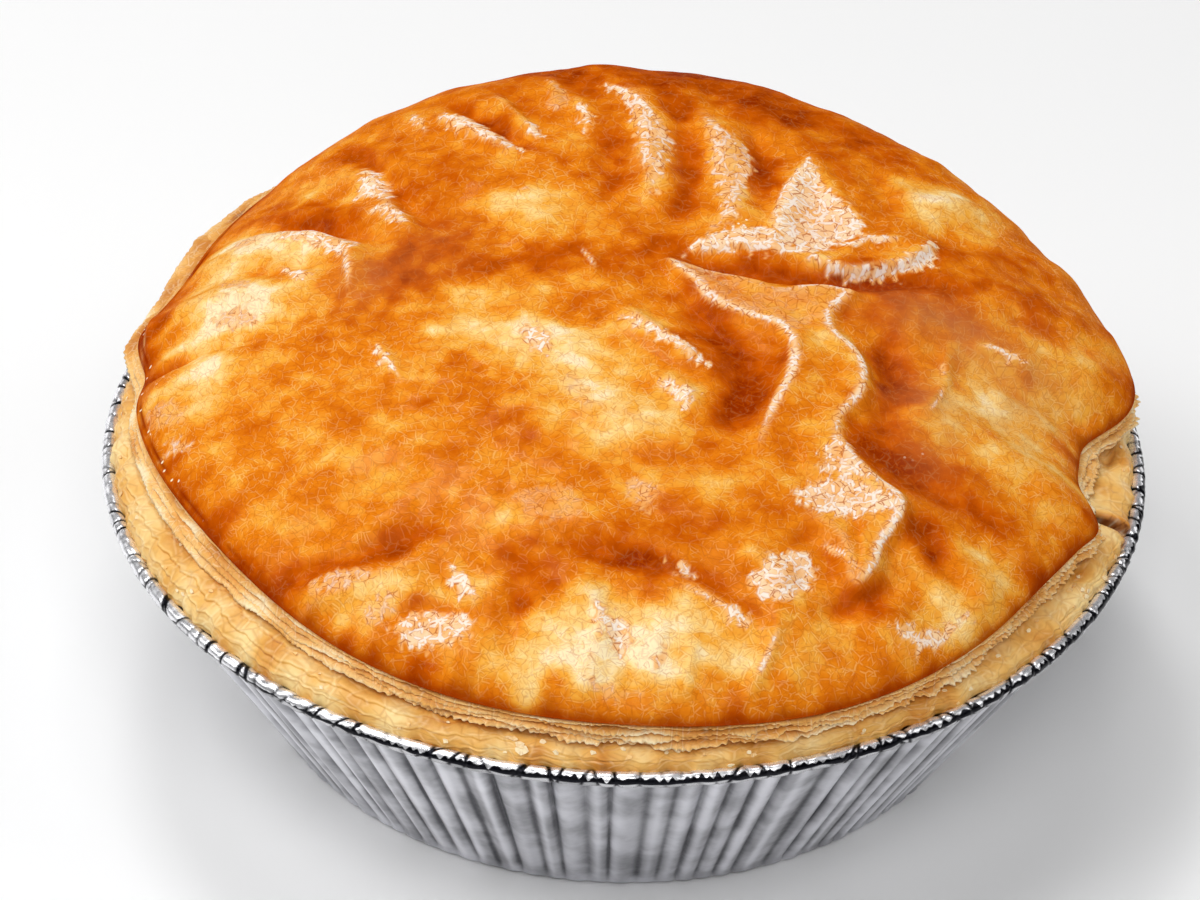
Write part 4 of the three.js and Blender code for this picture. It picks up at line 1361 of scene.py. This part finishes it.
def times(tree, first, second):
    """Product of two values."""
    return calculate(tree, "MULTIPLY", first, second)


def plus(tree, first, *others):
    """Sum of values."""
    total = first
    for value in others:
        total = calculate(tree, "ADD", total, value)
    return total


def stretch(tree, value, low, high, to_low=0.0, to_high=1.0):
    """Value carried smoothly from one range to another, and held at its ends."""
    inputs = {"Value": value, "From Min": low, "From Max": high, "To Min": to_low, "To Max": to_high}
    return add_node(tree, "ShaderNodeMapRange", inputs, interpolation_type="SMOOTHSTEP").outputs[0]


def vary(tree, value, amount, span=NOISE_SPAN):
    """Value carried from its span to minus and plus an amount."""
    return stretch(tree, value, *span, -amount, amount)


def mix_colours(tree, share, first, second):
    """Second colour over the first by a share."""
    return add_node(tree, "ShaderNodeMix", {0: share, 6: first, 7: second}, data_type="RGBA").outputs[2]


def tint(tree, share, colour, over):
    """Plain colour over another by a share."""
    return mix_colours(tree, share, colour, linear(*over))


def colour_ramp(tree, value, stops):
    """Colour of a value between the stops, each a place and a colour."""
    node = add_node(tree, "ShaderNodeValToRGB", {"Fac": value})
    elements = node.color_ramp.elements
    while len(elements) < len(stops):
        elements.new(0.5)
    for element, (where, colour) in zip(elements, stops):
        element.position = where
        element.color = linear(*colour)
    return node.outputs["Color"]


def noise(tree, vector, scale, detail=3.0, rough=0.55):
    """Noise from 0 to 1 at a number of cells to the metre."""
    inputs = {"Vector": vector, "Scale": scale, "Detail": detail, "Roughness": rough}
    return add_node(tree, "ShaderNodeTexNoise", inputs).outputs["Fac"]


def plan_noise(tree, vector, scale):
    """Three smooth noises in plan as a colour, at a number of cells to the metre."""
    inputs = {"Vector": vector, "Scale": scale, "Detail": 0.0}
    return add_node(tree, "ShaderNodeTexNoise", inputs, noise_dimensions="2D").outputs["Color"]


def cell_texture(tree, vector, scale, output, **settings):
    """Output of a texture of cells with scattered middles, at a number of cells to the metre."""
    node = add_node(tree, "ShaderNodeTexVoronoi", {"Vector": vector, "Scale": scale}, **settings)
    return node.outputs[output]


def scale_place(tree, vector, shares):
    """Place with each of its directions scaled by its share."""
    return add_node(tree, "ShaderNodeVectorMath", {0: vector, 1: shares}, operation="MULTIPLY").outputs[0]


def object_place(tree):
    """Place on the piece in metres."""
    return add_node(tree, "ShaderNodeTexCoord").outputs["Object"]


def attribute(tree, name, output="Fac"):
    """Value that the piece carries at its points."""
    return add_node(tree, "ShaderNodeAttribute", attribute_name=name).outputs[output]


def new_group(name, inputs, outputs):
    """Empty node group with an input socket of each kind and output sockets for plain values. Gives the
    group, what it is given and its end node."""
    tree = bpy.data.node_groups.new(name, "ShaderNodeTree")
    for label, kind in inputs.items():
        tree.interface.new_socket(label, in_out="INPUT", socket_type=kind)
    for label in outputs:
        tree.interface.new_socket(label, in_out="OUTPUT", socket_type="NodeSocketFloat")
    return tree, tree.nodes.new("NodeGroupInput").outputs, tree.nodes.new("NodeGroupOutput")


def use_group(tree, group, inputs):
    """Outputs of a placed node group with its own values."""
    return add_node(tree, "ShaderNodeGroup", inputs, node_tree=group).outputs


def crinkle_cells(tree, moved, number):
    """Place in one set of cells: turned to the set's heading, and scaled to its cells' length and width."""
    heading, length, width = CRINKLE_CELLS[number]
    turn = {"Vector": moved, "Center": (0.1 * number, 0.17, 0.0), "Angle": heading}
    turned = add_node(tree, "ShaderNodeVectorRotate", turn, rotation_type="Z_AXIS").outputs[0]
    return scale_place(tree, turned, (1 / length, 1 / width, 1.0))


def crinkle_shading(tree, cells, chosen):
    """Painted light and shade of the crinkles between one set of cells: a light line between shaded flanks
    where the chosen noise is high, a shaded line where it is low, and a broader painted highlight stroke
    where it is higher still."""
    gap = cell_texture(tree, cells, 1.0, "Distance", voronoi_dimensions="2D", feature="DISTANCE_TO_EDGE")
    line = stretch(tree, gap, 0.0, CRINKLE_HALF, 1.0, 0.0)
    flank = stretch(tree, gap, CRINKLE_HALF, 2.4 * CRINKLE_HALF, 0.6, 0.0)
    broad = stretch(tree, gap, CRINKLE_HALF, 1.6 * CRINKLE_HALF, 1.0, 0.0)
    raised = stretch(tree, chosen, 0.5, 0.64)
    sunk = stretch(tree, chosen, 0.34, 0.47, 1.0, 0.0)
    beside = times(tree, calculate(tree, "SUBTRACT", flank, line), raised)
    return {
        "Lights": times(tree, line, raised),
        "Darks": calculate(tree, "MAXIMUM", beside, times(tree, line, sunk)),
        "Strokes": times(tree, broad, stretch(tree, chosen, 0.56, 0.63)),
    }


def crinkle_group():
    """Crinkled skin: sets of cells with scattered middles, bent by noise, with painted light and shade of
    crinkles between the cells of each set. Gives the strongest painted light, painted shade and broad
    highlight stroke of all sets, and the mean of the flat tones of the first sets' cells."""
    tree, given, end = new_group("crinkled_skin_shading", PLACE_SOCKET, ("Lights", "Darks", "Strokes", "Facets"))
    step = {0: plan_noise(tree, given["Vector"], CRINKLE_BENDS), 1: (CRINKLE_BEND,) * 3, 2: given["Vector"]}
    moved = add_node(tree, "ShaderNodeVectorMath", step, operation="MULTIPLY_ADD").outputs[0]
    broken = plan_noise(tree, given["Vector"], CRINKLE_BREAKS)
    chosen = add_node(tree, "ShaderNodeSeparateColor", {"Color": broken}).outputs
    found = {"Lights": 0.0, "Darks": 0.0, "Strokes": 0.0}
    facets = 0.0
    for number in range(len(CRINKLE_CELLS)):
        cells = crinkle_cells(tree, moved, number)
        for label, value in crinkle_shading(tree, cells, chosen[number]).items():
            found[label] = calculate(tree, "MAXIMUM", found[label], value)
        if number < CRINKLE_TONED:
            tones = cell_texture(tree, cells, 1.0, "Color", voronoi_dimensions="2D")
            tone = add_node(tree, "ShaderNodeSeparateColor", {"Color": tones}).outputs[0]
            facets = calculate(tree, "MULTIPLY_ADD", tone, 1 / CRINKLE_TONED, facets)
    set_inputs(tree, end, {**found, "Facets": facets})
    return tree


def mottle_group():
    """Baked mottles: cloudy patches of a few millimetres, a finer grain and scattered small freckles, and
    painted glints: bright specks, which are cells in plan, with a slower noise for where they show."""
    labels = ("Clouds", "Grain", "Freckles", "Sparks", "Chance")
    tree, given, end = new_group("baked_mottle_and_glints", PLACE_SOCKET, labels)
    where = given["Vector"]
    dots = cell_texture(tree, where, 230.0, "Distance", feature="F1")
    small = calculate(tree, "SUBTRACT", 1.0, stretch(tree, dots, 0.03, 0.11))
    bright = cell_texture(tree, where, 620.0, "Distance", voronoi_dimensions="2D")
    set_inputs(tree, end, {
        "Clouds": noise(tree, where, 150.0, 2.0, 0.5),
        "Grain": noise(tree, where, 1300.0, 3.0, 0.6),
        "Freckles": times(tree, small, stretch(tree, noise(tree, where, 90.0, 1.0), 0.5, 0.62)),
        "Sparks": stretch(tree, bright, 0.05, 0.13, 1.0, 0.0),
        "Chance": noise(tree, where, 120.0, 1.0),
    })
    return tree


def layer_group():
    """Thin level lines of laminated pastry: noise that is drawn out round the pie and fine up and down."""
    sockets = {**PLACE_SOCKET, "Fineness": "NodeSocketFloat"}
    tree, given, end = new_group("pastry_layers", sockets, ("Lines",))
    fine = add_node(tree, "ShaderNodeCombineXYZ", {"X": 120.0, "Y": 120.0, "Z": given["Fineness"]}).outputs[0]
    drawn = scale_place(tree, given["Vector"], fine)
    set_inputs(tree, end, {"Lines": noise(tree, drawn, 1.0, 4.0, 0.65)})
    return tree


def wrinkle_group():
    """Foil wrinkles: soft dents, and a finer satin grain."""
    tree, given, end = new_group("foil_wrinkles", PLACE_SOCKET, ("Dents", "Grain"))
    set_inputs(tree, end, {
        "Dents": noise(tree, given["Vector"], 180.0, 3.0, 0.5),
        "Grain": noise(tree, given["Vector"], 1600.0, 2.0, 0.5),
    })
    return tree


def new_material(name):
    """Empty material with a surface shader. Gives the material, its node tree and the shader."""
    material = bpy.data.materials.new(name)
    material.use_nodes = True
    tree = material.node_tree
    tree.nodes.clear()
    shader = tree.nodes.new("ShaderNodeBsdfPrincipled")
    end = tree.nodes.new("ShaderNodeOutputMaterial")
    tree.links.new(shader.outputs[0], end.inputs["Surface"])
    return material, tree, shader


def bump(tree, height, strength, distance):
    """Surface relief of a height, as deep as the distance in metres."""
    inputs = {"Height": height, "Strength": strength, "Distance": distance}
    return add_node(tree, "ShaderNodeBump", inputs).outputs[0]


def glaze_ground(tree, dark, baked, skin):
    """Whole glaze: gold to deep brown, with painted light and shade of its crinkles, freckles and a painted
    hazy, rosy reflection.
    """
    colour = colour_ramp(tree, dark, GLAZE_BROWNS)
    colour = tint(tree, times(tree, skin["Darks"], 0.4), colour, GLAZE_SHADE_LINE)
    patchy = stretch(tree, baked["Clouds"], 0.35, 0.65, 0.4, 1.0)
    lit = times(tree, skin["Lights"], stretch(tree, dark, 0.25, 0.75, 0.36, 0.08))
    colour = tint(tree, times(tree, lit, patchy), colour, GLAZE_LIGHT_LINE)
    colour = tint(tree, times(tree, baked["Freckles"], 0.4), colour, GLAZE_FRECKLE)
    # Painted hazy, rosy reflection in its ovals, broken up by clouds
    cloudy = stretch(tree, baked["Clouds"], 0.35, 0.65, 0.3, 0.75)
    return tint(tree, times(tree, attribute(tree, "painted_haze"), cloudy), colour, GLAZE_HAZE_REFLECTION)


def add_painted_highlights(tree, colour, skin):
    """Painted highlights over the glaze: peach, paler the stronger they are, with dark lines and white
    strokes.
    """
    # How strongly highlights are painted here, in peach and white
    highlight_paint = attribute(tree, "highlight_paint")
    picked = times(tree, highlight_paint, stretch(tree, skin["Facets"], 0.15, 0.85, 0.75, 1.2))
    pale = tint(tree, stretch(tree, picked, 0.45, 1.0), linear(*HIGHLIGHT_PEACH), HIGHLIGHT_PALE)
    pale = tint(tree, times(tree, skin["Darks"], 0.85), pale, HIGHLIGHT_GAP_LINE)
    strokes = times(tree, skin["Strokes"], stretch(tree, highlight_paint, 0.35, 0.85, 0.1, 0.8))
    pale = tint(tree, strokes, pale, HIGHLIGHT_STROKE)
    return mix_colours(tree, stretch(tree, picked, 0.08, 0.6, 0.0, 0.92), colour, pale)


def add_glaze_edge(tree, colour, edge, baked):
    """Caramel edge and groove over the glaze, with painted glints, small bright specks, where it gleams."""
    colour = tint(tree, edge, colour, CARAMEL)
    gleams = plus(tree, baked["Chance"], attribute(tree, "gleam"))
    specks = times(tree, baked["Sparks"], stretch(tree, gleams, 0.74, 0.82))
    return tint(tree, specks, colour, GLINT_SPECK)


def glaze_material(crinkle, mottle):
    """Egg-washed pastry: brown by how dark it is baked and painted in shade, pale where highlights are
    painted and caramel at its edge, under a faint clear coat."""
    material, tree, shader = new_material("glazed_pastry")
    baked = use_group(tree, mottle, {"Vector": object_place(tree)})
    skin = use_group(tree, crinkle, {"Vector": attribute(tree, "sheet", "Vector")})
    clouds = vary(tree, baked["Clouds"], 0.09)
    grain = vary(tree, baked["Grain"], 0.03)
    facets = vary(tree, skin["Facets"], 0.05, (0.1, 0.9))
    dark = plus(tree, attribute(tree, "browning_and_shade"), plus(tree, clouds, grain, facets))
    edge = attribute(tree, "edge")
    colour = glaze_ground(tree, dark, baked, skin)
    colour = add_painted_highlights(tree, colour, skin)
    gloss = stretch(tree, dark, 0.3, 0.8, 0.07, 0.03)
    set_inputs(tree, shader, {
        "Base Color": add_glaze_edge(tree, colour, edge, baked),
        "Roughness": stretch(tree, baked["Clouds"], *NOISE_SPAN, 0.28, 0.42),
        "Specular IOR Level": 0.0,
        "Coat Weight": times(tree, gloss, calculate(tree, "SUBTRACT", 1.0, edge)),
        "Coat Roughness": 0.11,
        "Coat IOR": 1.5,
        "Normal": bump(tree, baked["Grain"], 0.3, 0.00003),
    })
    return material


def leaf_material(layers, mottle, crinkle):
    """Torn leaves: cream to tan by how brown they are baked and by painted shade and light, with fine darker
    lines between layers, and painted light and shade of cracks across them."""
    material, tree, shader = new_material("pastry_leaves")
    where = object_place(tree)
    lines = use_group(tree, layers, {"Vector": where, "Fineness": 1500.0})["Lines"]
    baked = use_group(tree, mottle, {"Vector": where})
    skin = use_group(tree, crinkle, {"Vector": where})
    uneven = plus(tree, vary(tree, baked["Clouds"], 0.12), vary(tree, lines, 0.05, (0.35, 0.65)))
    colour = colour_ramp(tree, plus(tree, attribute(tree, "bake_and_shading"), uneven), LEAF_BROWNS)
    colour = tint(tree, times(tree, skin["Lights"], 0.3), colour, LEAF_LIGHT_LINE)
    set_inputs(tree, shader, {
        "Base Color": tint(tree, times(tree, skin["Darks"], 0.32), colour, LEAF_SHADE_LINE),
        "Roughness": stretch(tree, baked["Grain"], *NOISE_SPAN, 0.4, 0.6),
        "Specular IOR Level": 0.3,
        "Normal": bump(tree, lines, 0.06, 0.0001),
    })
    return material


def crust_material(mottle, crinkle):
    """Lower crust: smooth pale pastry with cloudy gold, painted shade and light along its layers' edges and
    in its crack, and painted light and shade of fine crackle lines, wider than the glaze's.
    """
    material, tree, shader = new_material("crust_pastry")
    baked = use_group(tree, mottle, {"Vector": object_place(tree)})
    wider = scale_place(tree, attribute(tree, "sheet", "Vector"), (0.45, 0.7, 1.0))
    skin = use_group(tree, crinkle, {"Vector": wider})
    clouds = vary(tree, baked["Clouds"], 0.2)
    grain = vary(tree, baked["Grain"], 0.04)
    facets = vary(tree, skin["Facets"], 0.07, (0.0, 1.0))
    dark = plus(tree, attribute(tree, "bake_and_shading"), plus(tree, clouds, grain, facets))
    colour = colour_ramp(tree, dark, CRUST_BROWNS)
    colour = tint(tree, times(tree, skin["Lights"], 0.22), colour, CRUST_LIGHT_LINE)
    set_inputs(tree, shader, {
        "Base Color": tint(tree, times(tree, skin["Darks"], 0.35), colour, CRUST_SHADE_LINE),
        "Roughness": stretch(tree, baked["Grain"], *NOISE_SPAN, 0.32, 0.5),
        "Specular IOR Level": 0.3,
        "Normal": bump(tree, baked["Grain"], 0.3, 0.00005),
    })
    return material


def foil_material(name, wrinkles, tones, unevenness, metallic, rough, depth, banded):
    """Bare aluminium foil: painted shade in its creases and painted highlights on its crests, with a
    roughness that follows its grain, and a dark band of painted reflection along it where it is banded."""
    material, tree, shader = new_material(name)
    found = use_group(tree, wrinkles, {"Vector": object_place(tree)})
    crest = attribute(tree, "crest")
    if banded:
        above = stretch(tree, attribute(tree, "upper"), -0.1, 0.1)
        below = stretch(tree, attribute(tree, "lower"), -0.12, 0.12, 0.6, 0.0)
        crest = times(tree, crest, calculate(tree, "MAXIMUM", above, below))
    shown = plus(tree, crest, vary(tree, found["Dents"], unevenness))
    dark, bright = tones
    set_inputs(tree, shader, {
        "Base Color": tint(tree, stretch(tree, shown, 0.0, 1.0), linear(*dark), bright),
        "Metallic": metallic,
        "Roughness": stretch(tree, found["Grain"], *NOISE_SPAN, *rough),
        "Normal": bump(tree, found["Dents"], 0.5, depth),
    })
    return material


def floor_material():
    """Plain pale floor with a barely uneven tone."""
    material, tree, shader = new_material("pale_floor")
    first, second = FLOOR_TONES
    tone = noise(tree, object_place(tree), 6.0, 2.0)
    colour = tint(tree, tone, linear(*first), second)
    set_inputs(tree, shader, {"Base Color": colour, "Roughness": 0.85})
    return material


# Camera, from the photo's 1200 x 900 frame: where the middle of the rim shows, and the lens it takes
PHOTO_WIDTH = 1200
PHOTO_HEIGHT = 900
RIM_MIDDLE_PIXEL = (624.8, 440.0)
FOCAL_PIXELS = 3630.2
SENSOR = 36.0
CAMERA_DISTANCE = 437.5
CAMERA_ELEVATION = 36.0
CAMERA_ROLL = 2.05
NEAREST_SEEN = 0.01


def build_camera():
    """Camera in front of the pie, looking at the middle of its rim from the photo's elevation."""
    data = bpy.data.cameras.new("photo_camera")
    data.sensor_width = SENSOR
    data.lens = FOCAL_PIXELS * SENSOR / PHOTO_WIDTH
    data.shift_x = (PHOTO_WIDTH / 2 - RIM_MIDDLE_PIXEL[0]) / PHOTO_WIDTH
    data.shift_y = (RIM_MIDDLE_PIXEL[1] - PHOTO_HEIGHT / 2) / PHOTO_WIDTH
    data.clip_start = NEAREST_SEEN
    camera = bpy.data.objects.new("photo_camera", data)
    elevation = math.radians(CAMERA_ELEVATION)
    away = CAMERA_DISTANCE * MM
    position = (0, -away * math.cos(elevation), RIM_HEIGHT * MM + away * math.sin(elevation))
    tilt = Matrix.Rotation(math.pi / 2 - elevation, 4, "X")
    roll = Matrix.Rotation(math.radians(CAMERA_ROLL), 4, "Z")
    camera.matrix_world = Matrix.Translation(position) @ tilt @ roll
    bpy.context.scene.collection.objects.link(camera)
    bpy.context.scene.camera = camera


# Studio lights: name, direction round the pie, elevation, distance in metres, size in metres, watts. Then
# the strength of the surround
SOFTBOXES = [
    ("back_left", 115, 62, 0.9, 0.2, 1.3),
    ("overhead", 95, 80, 0.8, 0.3, 0.9),
    ("top_left", -165, 58, 0.9, 0.4, 2.4),
    ("top_front", -85, 52, 0.9, 0.4, 2.4),
    ("left", 185, 38, 0.9, 0.5, 1.8),
    ("right", -5, 40, 0.9, 0.5, 1.2),
    ("front", -90, 20, 1.2, 1.0, 1.2),
    ("back_left_low", 128, 12, 0.9, 0.35, 0.5),
    ("back_right_low", 52, 12, 0.9, 0.35, 0.5),
]
SURROUND = 0.06


def build_lights():
    """Soft square lights that face the pie, in an even pale surround."""
    aim = np.array([0, 0, RIM_HEIGHT * MM])
    for name, direction, elevation, distance, size, watts in SOFTBOXES:
        data = bpy.data.lights.new(name, "AREA")
        data.shape = "SQUARE"
        data.size = size
        data.energy = watts
        light = bpy.data.objects.new(name, data)
        turn = math.radians(direction)
        rise = math.radians(elevation)
        flat = math.cos(rise)
        position = aim + distance * np.array([flat * math.cos(turn), flat * math.sin(turn), math.sin(rise)])
        facing = Matrix.Rotation(turn + math.pi / 2, 4, "Z") @ Matrix.Rotation(math.pi / 2 - rise, 4, "X")
        light.matrix_world = Matrix.Translation(position.tolist()) @ facing
        bpy.context.scene.collection.objects.link(light)
    world = bpy.data.worlds.new("studio")
    world.use_nodes = True
    surround = world.node_tree.nodes["Background"]
    surround.inputs["Color"].default_value = (1.0, 1.0, 1.0, 1.0)
    surround.inputs["Strength"].default_value = SURROUND
    bpy.context.scene.world = world
    bpy.context.scene.view_settings.view_transform = "Standard"


FLOOR_HALF = 2.0


def build_floor(material):
    """Level pale floor under the pie."""
    mesh = bpy.data.meshes.new("floor")
    corners = [(-1, -1), (1, -1), (1, 1), (-1, 1)]
    mesh.from_pydata([(x * FLOOR_HALF, y * FLOOR_HALF, 0) for x, y in corners], [], [(0, 1, 2, 3)])
    mesh.materials.append(material)
    floor = bpy.data.objects.new("floor", mesh)
    bpy.context.scene.collection.objects.link(floor)


build_camera()
build_lights()
build_floor(floor_material())

crinkle = crinkle_group()
mottle = mottle_group()
layers = layer_group()
wrinkles = wrinkle_group()
build_lid_glaze(glaze_material(crinkle, mottle))
pale_leaves = leaf_material(layers, mottle, crinkle)
build_lid_leaves(pale_leaves)
build_flakes(pale_leaves)
build_crust(crust_material(mottle, crinkle))
build_tin_wall(foil_material("foil_wall", wrinkles, **WALL_FOIL))
build_tin_rim(foil_material("foil_rim", wrinkles, **RIM_FOIL))
